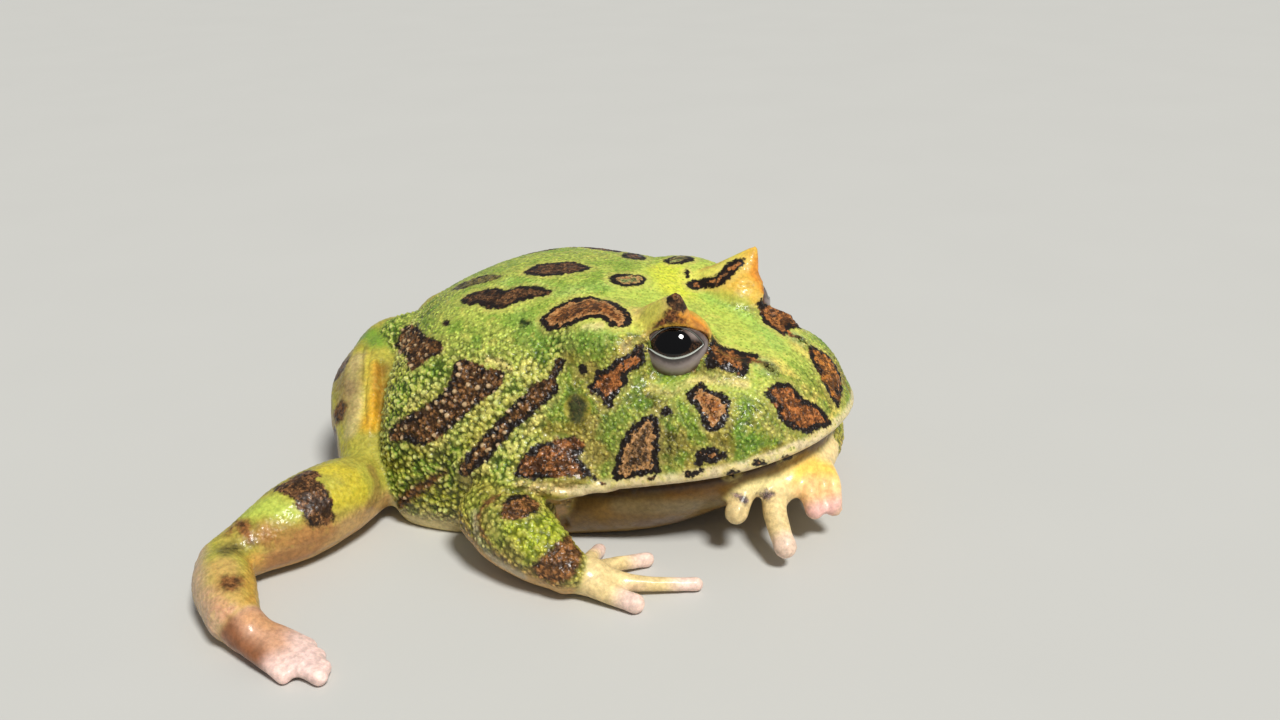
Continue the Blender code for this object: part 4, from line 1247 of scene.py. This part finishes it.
class SkinSheet(NodeSheet):
    """Wet, grained frog skin: ground colour, markings, pale grain tips, painted highlight and painted shade
    of the grains, gloss and fine bumps.
    """

    def __init__(self, colours):
        super().__init__("horned_frog_skin")
        self.colours = colours
        self.where = self.place()
        self.edge, self.rim, self.soft = (self.number("marking_" + name) for name in ("edge", "rim", "soft"))
        self.tops, self.warts = self.number("grain_top"), self.number("wart_top")
        self.grain, self.speckled = self.number("grain_zone"), self.number("speckled")
        self.slow = self.noise(self.where, 0.16, 3.0)
        self.patch = self.noise(self.where, 0.42, 3.0, 0.6)
        self.fine = self.noise(self.where, 1.1, 4.0, 0.62)
        self.grit = self.noise(self.where, 1.1, 5.0, 0.75)
        self.spark = self.noise(self.where, 1.7, 3.0, 0.7)
        self.pebbles = self.fall(self.cells(self.where, 1.2), 0.12, 0.62)
        ragged = self.maths("SUBTRACT", self.noise(self.where, 0.75, 4.0, 0.65), 0.5)
        pebbled = self.maths("SUBTRACT", self.cells(self.where, 1.5), 0.5)
        distance = self.maths("MULTIPLY_ADD", ragged, 2.0, self.edge)
        self.distance = self.maths("MULTIPLY_ADD", pebbled, 0.5, distance)

    def shaded(self, colour, share):
        """A colour with the shade of the valleys between the grains over it."""
        return self.blend(share, colour, self.blend(1.0, colour, self.colours.valley, "MULTIPLY"))

    def ground(self):
        """Painted ground with slow and fine changes of depth, yellow clouds, small dark pits, patches of
        painted shade and painted glints.
        """
        depth = self.maths(
            "ADD", self.step(self.slow, 0.3, 0.7, 0.9, 1.12), self.step(self.fine, 0.3, 0.7, -0.2, 0.18))
        base = self.scaled(self.colour("ground"), depth)
        lush = self.product(
            self.step(self.slow, 0.44, 0.58), self.step(self.grain, 0.1, 0.4, 0.16, 0.75), self.speckled)
        base = self.blend(lush, base, self.colours.lush)
        cloud = self.product(self.step(self.patch, 0.54, 0.68), self.speckled, 0.45)
        base = self.blend(cloud, base, self.colours.cloud)
        pits = self.product(
            self.fall(self.cells(self.where, 0.95), 0.16, 0.34), self.step(self.fine, 0.44, 0.54),
            self.step(self.grain, 0.35, 0.55, 0.7, 0.0), self.speckled)
        base = self.blend(pits, base, self.colours.pit)
        # Patches darkened by noise with the painted shade of the valleys between the grains.
        dull = self.product(
            self.fall(self.grit, 0.38, 0.52), self.step(self.grain, 0.1, 0.5, 0.2, 0.6), self.speckled)
        base = self.shaded(base, dull)
        # Painted glints: small pale spots in the colour of the grain tips, laid by noise.
        gleam = self.product(
            self.step(self.spark, 0.55, 0.67), self.step(self.grain, 0.1, 0.5, 0.1, 0.45), self.speckled)
        return self.blend(gleam, base, self.colours.grain_tip_and_highlight)

    def haloed(self, base):
        """The pale, broken line round a marking."""
        halo = self.product(
            self.fall(self.distance, 0.2, 1.8), self.step(self.rim, 0.1, 0.7, 0.0, 0.5),
            self.step(self.patch, 0.4, 0.6, 1.0, 0.3))
        return self.blend(halo, base, self.colours.halo)

    def grained(self, base):
        """Pale tips over painted shade in the valleys, only where the skin is grained; the tips are pale
        grains with painted highlight on them.
        """
        # Painted shade in the valleys between the grains.
        valley = self.product(self.fall(self.tops, 0.0, 0.35), self.step(self.grain, 0.2, 0.95, 0.0, 0.8))
        base = self.shaded(base, valley)
        # Painted light and shade of the fine pebbles: lighter on their tops and darker between them.
        relief = self.product(
            self.maths("SUBTRACT", self.pebbles, 0.5), self.step(self.grain, 0.1, 0.5), 0.6)
        base = self.scaled(base, self.maths("ADD", 1.0, relief))
        # Pale grain tips, partly their own colour and partly painted highlight.
        tips = self.product(
            self.step(self.tops, 0.4, 0.9), self.step(self.grain, 0.5, 0.95, 0.06, 0.6),
            self.step(self.patch, 0.35, 0.6, 0.35, 1.0))
        return self.blend(tips, base, self.colours.grain_tip_and_highlight)

    def marking(self):
        """Warm middle with dark grit and light grains, and a dark, broken rim."""
        tone = self.colour("marking_tone")
        dark = self.scaled(tone, 0.13)
        light = self.blend(0.4, self.scaled(tone, 1.9), self.colours.marking_tip)
        crisp = self.step(self.soft, 0.45, 1.0, 1.0, 0.2)
        smudge = self.noise(self.where, 0.7, 4.0, 0.65)
        middle = self.scaled(tone, self.step(smudge, 0.38, 0.62, 0.3, 1.3))
        for colour, shares in (
            (dark, (self.fall(self.grit, 0.40, 0.54), crisp)),
            (light, (self.step(self.spark, 0.5, 0.66), crisp, 0.85)),
            # Lighter on the grain tops and darker between the grains: partly the grains' own colour, partly
            # painted highlight and painted shade.
            (light, (self.step(self.tops, 0.5, 0.95), self.grain, 0.45)),
            (dark, (self.fall(self.tops, 0.0, 0.4), self.grain, 0.6)),
            (dark, (self.step(self.patch, 0.5, 0.58), crisp, 0.8)),
        ):
            middle = self.blend(self.product(*shares), middle, colour)
        depth = self.maths("ADD", self.distance, self.maths("MULTIPLY_ADD", self.patch, 3.6, -0.6))
        ring = self.product(
            self.step(depth, -1.1, -0.5), self.step(self.rim, 0.85, 1.0, 0.0, 0.7),
            self.step(self.spark, 0.36, 0.5))
        middle = self.blend(ring, middle, self.colours.marking_tip)
        unbroken = self.maths("MULTIPLY_ADD", self.rim, 0.45, self.noise(self.where, 0.3, 2.0))
        rim = self.product(self.step(depth, -0.25, 0.15), self.step(unbroken, 0.62, 0.76))
        return self.blend(rim, middle, self.colours.rim)

    def colour_skin(self):
        """Ground, markings over it and the tops of the warts over both."""
        base = self.grained(self.haloed(self.ground()))
        inside = self.step(self.distance, self.maths("MULTIPLY", self.soft, -1.0), self.soft, 1.0, 0.0)
        skin = self.blend(inside, base, self.marking())
        pearl = self.blend(inside, self.colours.wart_tip, self.colours.marking_pearl)
        skin = self.blend(self.product(self.step(self.warts, 0.3, 0.8), 0.8), skin, pearl)
        self.feed(self.shader.inputs["Base Color"], skin)

    def wet_skin(self):
        """Uneven gloss, and fine bumps that catch the light."""
        wet = self.noise(self.where, 0.5, 3.0)
        self.feed(self.shader.inputs["Roughness"], self.step(wet, 0.3, 0.7, 0.32, 0.55))
        normal = self.bump(self.product(self.pebbles, self.step(self.grain, 0.05, 0.5)), 0.8, 0.24)
        normal = self.bump(self.noise(self.where, 3.2, 3.0), 0.45, 0.12, normal)
        self.feed(self.shader.inputs["Normal"], normal)
        self.set(Coat_Weight=0.16, Coat_Roughness=0.12, Specular_IOR_Level=0.28)
        self.set(Subsurface_Weight=0.05, Subsurface_Scale=0.002)


def skin_material(colours):
    """The frog's skin."""
    sheet = SkinSheet(colours)
    sheet.colour_skin()
    sheet.wet_skin()
    return sheet.material


def eye_material():
    """Black pupil lying flat across a dark brown iris, under a wet cornea."""
    sheet = NodeSheet("frog_eye")
    back = sheet.number("eye_back")
    lift = sheet.number("eye_lift")
    where = sheet.place()
    across = sheet.maths("DIVIDE", sheet.maths("SUBTRACT", back, PUPIL_BACK), PUPIL_LENGTH)
    rise = sheet.maths("DIVIDE", sheet.maths("SUBTRACT", lift, PUPIL_LIFT), PUPIL_HEIGHT)
    squares = sheet.maths("ADD", sheet.maths("POWER", across, 2.0), sheet.maths("POWER", rise, 2.0))
    ring = sheet.maths("SQRT", squares)
    flecks = sheet.noise(where, 2.2, 5.0, 0.7)
    iris = sheet.blend(sheet.step(flecks, 0.42, 0.66), srgb(16, 10, 6), srgb(74, 50, 32))
    # Pale sector at the upper front of the iris: painted reflection, partly the iris's own pale upper edge.
    sheen = sheet.product(sheet.fall(back, -34.0, -6.0), sheet.step(lift, 8.0, 26.0), 0.8)
    iris = sheet.blend(sheen, iris, srgb(158, 144, 138))
    colour = sheet.blend(sheet.step(ring, 0.96, 1.06), srgb(3, 3, 4), iris)
    sheet.feed(sheet.shader.inputs["Base Color"], colour)
    sheet.set(Roughness=0.3, Coat_Weight=0.8, Coat_Roughness=0.05, Specular_IOR_Level=0.0)
    return sheet.material


def lid_material():
    """Thin grey skin of the lids, darker near its pale free edge."""
    sheet = NodeSheet("frog_eyelid")
    where = sheet.place()
    height = sheet.number("lid_height")
    low = sheet.number("lid_low")
    cloud = sheet.noise(where, 0.7, 3.0)
    middle = sheet.blend(sheet.step(cloud, 0.35, 0.65), srgb(84, 72, 68), srgb(118, 104, 100))
    pale = sheet.product(sheet.step(height, 0.25, 0.5), sheet.fall(height, 0.6, 0.82), low)
    colour = sheet.blend(sheet.product(pale, 0.8), middle, srgb(150, 138, 134))
    colour = sheet.blend(sheet.step(height, 0.74, 0.9), colour, srgb(52, 44, 40))
    colour = sheet.blend(sheet.fall(height, 0.02, 0.42), colour, srgb(92, 58, 34))
    line = sheet.product(sheet.step(height, 0.93, 0.965), sheet.step(low, 0.0, 1.0, 0.3, 1.0))
    colour = sheet.blend(line, colour, srgb(184, 190, 180))
    sheet.feed(sheet.shader.inputs["Base Color"], colour)
    sheet.set(Roughness=0.3, Coat_Weight=0.4, Coat_Roughness=0.1)
    return sheet.material


def floor_material(colour):
    """Plain pale floor with the faintest unevenness."""
    sheet = NodeSheet("pale_floor")
    where = sheet.place()
    cloud = sheet.noise(where, 0.02, 2.0)
    lighter = tuple(min(1.0, level * 1.04) for level in colour)
    sheet.feed(sheet.shader.inputs["Base Color"], sheet.blend(cloud, tuple(colour), lighter))
    sheet.set(Roughness=0.6)
    return sheet.material


# Sizes and colours that a user may change


def colour_setting(name, description, *levels):
    """A colour that a user may change, given as a screen shows it."""
    return FloatVectorProperty(
        name=name, description=description, subtype="COLOR", size=3, min=0.0, max=1.0,
        default=srgb(*levels))


def length_setting(name, description, default, low, high):
    """A length in millimetres that a user may change."""
    return FloatProperty(
        name=name, description=description, default=default * MM, min=low * MM, max=high * MM,
        precision=5, unit="LENGTH")


class FrogSkinSettings(bpy.types.PropertyGroup):
    """Sizes and colours of the skin."""

    voxel: length_setting("Skin grid", "Size of the faces that the skin is first made of", 0.60, 0.4, 2.0)
    growth: length_setting(
        "Closing allowance", "How far the solids grow to join into one skin", 0.30, 0.16, 1.0)
    grain_spacing: length_setting("Grain spacing", "Distance between the grains of the skin", 1.35, 0.8, 4.0)
    grain_height: length_setting("Grain height", "Height of the grains", 0.46, 0.0, 1.0)
    wart_spacing: length_setting("Wart spacing", "Distance between the larger warts", 2.3, 1.5, 10.0)
    wart_height: length_setting("Wart height", "Height of the larger warts of the flanks", 0.6, 0.0, 2.0)
    back: colour_setting("Back", "Green of the back", 188, 202, 88)
    flank: colour_setting("Flank", "Green of the flanks", 164, 162, 46)
    face: colour_setting("Face", "Green of the sides of the face", 150, 136, 44)
    belly: colour_setting("Belly", "Pale skin of the underside", 206, 188, 128)
    # Throat: own olive-brown with painted shade in it.
    throat: colour_setting("Throat", "Skin under the mouth", 122, 94, 44)
    lip: colour_setting("Lip", "Pale rim of the upper lip", 222, 202, 160)
    horn: colour_setting("Horn", "Orange of the lids and horns", 222, 176, 72)
    limb_top: colour_setting("Limb top", "Upper side of the limbs", 176, 166, 66)
    limb_under: colour_setting("Limb underside", "Lower side of the limbs", 196, 156, 96)
    hand: colour_setting("Hand", "Skin of the hands", 226, 200, 142)
    foot: colour_setting("Foot", "Skin of the feet", 200, 152, 120)
    tip: colour_setting("Tip", "Ends of the fingers and toes", 238, 206, 196)
    lush: colour_setting("Lush", "Deep green patches of the flanks and the face", 110, 152, 42)
    cloud: colour_setting("Cloud", "Yellow clouds on the smooth skin of the back", 224, 214, 104)
    pit: colour_setting("Pit", "Small dark pits of the back", 88, 116, 26)
    halo: colour_setting("Halo", "Pale line round a marking", 224, 202, 112)
    valley: colour_setting("Valley", "Shade between the grains", 92, 108, 44)
    # Pale tops of the grains, partly painted highlight, and the colour of the painted glints.
    grain_tip_and_highlight: colour_setting("Grain tip", "Tops of the grains", 220, 216, 116)
    marking_pearl: colour_setting("Marking wart", "Tops of the warts inside a marking", 200, 170, 128)
    marking_tip: colour_setting("Marking grain", "Light grains inside a marking", 200, 148, 92)
    wart_tip: colour_setting("Wart tip", "Tops of the larger warts", 200, 204, 116)
    nostril: colour_setting("Nostril", "Grey green round the nostrils", 168, 180, 116)
    # Painted shade under the upper lip and in the nostril holes.
    mouth: colour_setting("Mouth", "Shade under the upper lip", 58, 38, 20)
    # Dark edge of a marking, also used for the painted shade inside the lids' free edge.
    rim: colour_setting("Rim", "Dark edge of a marking", 24, 14, 8)
    lid_ring: colour_setting("Lid ring", "Skin round the eyelids", 150, 108, 66)


class FrogEyeSettings(bpy.types.PropertyGroup):
    """Sizes of the eyes."""

    rings: IntProperty(
        name="Rings", description="Rings of faces from the pupil to the back of the eyeball",
        default=48, min=12, max=128)
    lid_rise: length_setting("Lid rise", "How far the lids stand out from the eyeball", 0.26, 0.1, 1.0)


class FrogStageSettings(bpy.types.PropertyGroup):
    """Floor and light."""

    floor_width: FloatProperty(
        name="Floor width", description="Width of the floor", default=12.0, min=1.0, max=50.0,
        unit="LENGTH")
    floor_colour: colour_setting("Floor colour", "Colour of the plain floor", 196, 196, 192)
    key_strength: FloatProperty(
        name="Key light", description="Strength of the main light", default=3.7, min=0.0, max=20.0)
    sky_strength: FloatProperty(
        name="Room light", description="Strength of the even light from all round", default=0.24,
        min=0.0, max=5.0)


# Operators


class OBJECT_OT_frog_skin(bpy.types.Operator):
    """Build the one skin of the frog, with its mouth, folds, warts and markings"""

    bl_idname = "object.frog_skin"
    bl_label = "Frog Skin"

    def execute(self, context):
        settings = context.scene.frog_skin
        growth = settings.growth / MM
        surface = smooth_flesh(join_flesh(settings.voxel / MM, growth), growth)
        rays = PhotoRays()
        regions = region_of(surface)
        weights = {name: region_weight(surface, regions, (name,), 14) for name in REGION_NAMES}
        cut_mouth(surface, region_weight(surface, regions, ("head", "jaw", "horn"), 4))
        surface.find_normals()
        raise_folds(surface, rays)
        open_nostrils(surface)
        open_eyes(surface)
        surface.find_normals()
        paint = paint_ground(surface, regions, weights, rays, settings)
        markings = Markings(surface)
        markings.lay_traced(rays)
        markings.lay_spots()
        grain, wart, speckled = wart_zones(surface, weights)
        tops, wart_tops = raise_warts(surface, grain, wart, settings)
        clear_eyes(surface)
        surface.points[:, 2] = np.maximum(surface.points[:, 2], LEAST_HEIGHT)
        surface.store()
        mesh = surface.mesh
        give_colours(mesh, "ground", paint)
        give_colours(mesh, "marking_tone", markings.tone)
        give_numbers(mesh, "marking_edge", markings.edge)
        give_numbers(mesh, "marking_rim", markings.rim)
        give_numbers(mesh, "marking_soft", markings.soft)
        give_numbers(mesh, "grain_top", tops)
        give_numbers(mesh, "wart_top", wart_tops)
        give_numbers(mesh, "grain_zone", grain)
        give_numbers(mesh, "speckled", speckled)
        show("frog_skin", mesh, skin_material(settings), FLESH_NODES)
        return {"FINISHED"}


class OBJECT_OT_frog_eyes(bpy.types.Operator):
    """Build both eyeballs and the thin grey lids round them"""

    bl_idname = "object.frog_eyes"
    bl_label = "Frog Eyes"

    def execute(self, context):
        settings = context.scene.frog_eyes
        ball = eye_material()
        lid = lid_material()
        for side, word in ((-1, "right"), (1, "left")):
            self.build_ball(side, word, ball, settings.rings)
            self.build_lids(side, word, lid, settings.lid_rise / MM)
        return {"FINISHED"}

    def build_ball(self, side, word, material, rings):
        """The eyeball: rings of faces round its gaze."""
        centre, gaze, across, up = eye_frame(side)
        spokes = 2 * rings
        points = [centre + gaze * EYE_RADIUS]
        faces = []
        for ring in range(1, rings):
            tilt = math.pi * ring / rings
            for spoke in range(spokes):
                turn = 2.0 * math.pi * spoke / spokes
                aside = across * math.cos(turn) + up * math.sin(turn)
                way = gaze * math.cos(tilt) + aside * math.sin(tilt)
                points.append(centre + way * EYE_RADIUS)
        points.append(centre - gaze * EYE_RADIUS)
        last = 1 + (rings - 2) * spokes
        for spoke in range(spokes):
            following = (spoke + 1) % spokes
            faces.append((0, 1 + spoke, 1 + following))
            faces.append((len(points) - 1, last + following, last + spoke))
            for ring in range(rings - 2):
                start = 1 + ring * spokes
                faces.append((start + spoke, start + spokes + spoke, start + spokes + following,
                              start + following))
        if side > 0:
            faces = [face[::-1] for face in faces]
        mesh = scaled_mesh("eyeball_" + word, points, faces)
        _, back, lift = eye_angles(np.array(points), side)
        give_numbers(mesh, "eye_back", back)
        give_numbers(mesh, "eye_lift", lift)
        show("eyeball_" + word, mesh, material, ("eye_" + word,))

    def build_lids(self, side, word, material, rise):
        """Both lids as one thin ring on the eyeball, rounded at its free edge."""
        centre, gaze, across, up = eye_frame(side)
        edge = smooth_loop(LID_EDGE, LID_PARTS)
        foot = smooth_loop(LID_FOOT, LID_PARTS)
        steps = LID_STEPS
        points, heights, lows = [], [], []
        for (edge_back, edge_lift), (foot_back, foot_lift) in zip(edge, foot):
            for step in list(range(steps + 1)) + list(range(steps, -1, -1)):
                outer = len(points) % (2 * steps + 2) <= steps
                share = step / steps
                back = math.radians(foot_back + (edge_back - foot_back) * share)
                lift = math.radians(foot_lift + (edge_lift - foot_lift) * share)
                past = max(0.0, (share - LID_ROUND_FROM) / (1.0 - LID_ROUND_FROM))
                rounded = math.sqrt(max(0.0, 1.0 - past ** 2))
                reach = EYE_RADIUS + LID_GAP + (rise * rounded if outer else 0.0)
                ahead = gaze * math.cos(lift) + up * math.sin(lift)
                points.append(centre + (ahead * math.cos(back) + across * math.sin(back)) * reach)
                heights.append(share)
                lows.append(smooth_between(-edge_lift, -14.0, 6.0))
        width = 2 * (steps + 1)
        count = len(edge)
        faces = []
        for column in range(count):
            start, beside = column * width, (column + 1) % count * width
            for row in range(width):
                following = (row + 1) % width
                faces.append((start + row, beside + row, beside + following, start + following))
        if side < 0:
            faces = [face[::-1] for face in faces]
        mesh = scaled_mesh("eyelids_" + word, points, faces)
        give_numbers(mesh, "lid_height", np.array(heights))
        give_numbers(mesh, "lid_low", np.array(lows))
        show("eyelids_" + word, mesh, material)


class OBJECT_OT_frog_stage(bpy.types.Operator):
    """Lay the plain floor and set up the soft light and the camera"""

    bl_idname = "object.frog_stage"
    bl_label = "Frog Stage"

    def execute(self, context):
        settings = context.scene.frog_stage
        scene = context.scene
        half = settings.floor_width / 2.0
        mesh = bpy.data.meshes.new("floor")
        corners = [(-half, -half, 0.0), (half, -half, 0.0), (half, half, 0.0), (-half, half, 0.0)]
        mesh.from_pydata(corners, [], [(0, 1, 2, 3)])
        mesh.materials.append(floor_material(settings.floor_colour))
        floor = bpy.data.objects.new("floor", mesh)
        floor.location.z = -FLOOR_GAP * MM
        scene.collection.objects.link(floor)
        world = bpy.data.worlds.new("soft_room")
        world.use_nodes = True
        room = world.node_tree.nodes["Background"]
        room.inputs["Color"].default_value = (*SKY_COLOUR, 1.0)
        room.inputs["Strength"].default_value = settings.sky_strength
        scene.world = world
        sun = bpy.data.lights.new("key_light", "SUN")
        sun.energy = settings.key_strength
        sun.angle = math.radians(SUN_WIDTH)
        sun.color = SUN_COLOUR
        self.aim(sun, SUN_PLACE)
        self.camera(scene)
        scene.view_settings.view_transform = "Standard"
        return {"FINISHED"}

    def aim(self, light, place):
        """A lamp at a place, turned towards the frog."""
        lamp = bpy.data.objects.new(light.name, light)
        lamp.location = place
        towards = Vector(SUN_TARGET) - Vector(place)
        lamp.rotation_euler = towards.to_track_quat("-Z", "Y").to_euler()
        bpy.context.scene.collection.objects.link(lamp)

    def camera(self, scene):
        """The photograph's camera: its place, direction, roll and focal length."""
        data = bpy.data.cameras.new("camera")
        data.sensor_fit = "HORIZONTAL"
        data.sensor_width = SENSOR_WIDTH
        data.lens = data.sensor_width * PHOTO_FOCAL / PHOTO_WIDTH
        data.clip_start = NEAREST_SEEN * MM
        right, above, view = photo_axes()
        camera = bpy.data.objects.new("camera", data)
        turn = Matrix((right, above, -view)).transposed().to_4x4()
        camera.matrix_world = Matrix.Translation(Vector(CAMERA_PLACE) * MM) @ turn
        scene.collection.objects.link(camera)
        scene.camera = camera


class VIEW3D_PT_horned_frog(bpy.types.Panel):
    """Lists the frog's pieces and their settings"""

    bl_idname = "VIEW3D_PT_horned_frog"
    bl_label = "Horned Frog"
    bl_space_type = "VIEW_3D"
    bl_region_type = "UI"
    bl_category = "Horned Frog"

    def draw(self, context):
        for group, operator in (
            ("frog_skin", OBJECT_OT_frog_skin),
            ("frog_eyes", OBJECT_OT_frog_eyes),
            ("frog_stage", OBJECT_OT_frog_stage),
        ):
            box = self.layout.box()
            settings = getattr(context.scene, group)
            for name in settings.__annotations__:
                box.prop(settings, name)
            box.operator(operator.bl_idname)


GROUPS = {
    "frog_skin": FrogSkinSettings,
    "frog_eyes": FrogEyeSettings,
    "frog_stage": FrogStageSettings,
}
PANELS_AND_OPERATORS = (
    OBJECT_OT_frog_skin,
    OBJECT_OT_frog_eyes,
    OBJECT_OT_frog_stage,
    VIEW3D_PT_horned_frog,
)


def register():
    for name, group in GROUPS.items():
        bpy.utils.register_class(group)
        setattr(bpy.types.Scene, name, PointerProperty(type=group))
    for item in PANELS_AND_OPERATORS:
        bpy.utils.register_class(item)


def unregister():
    for item in reversed(PANELS_AND_OPERATORS):
        bpy.utils.unregister_class(item)
    for name, group in reversed(GROUPS.items()):
        delattr(bpy.types.Scene, name)
        bpy.utils.unregister_class(group)


def main():
    """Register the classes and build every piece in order."""
    register()
    bpy.ops.object.frog_skin()
    bpy.ops.object.frog_eyes()
    bpy.ops.object.frog_stage()


if __name__ == "__main__":
    main()
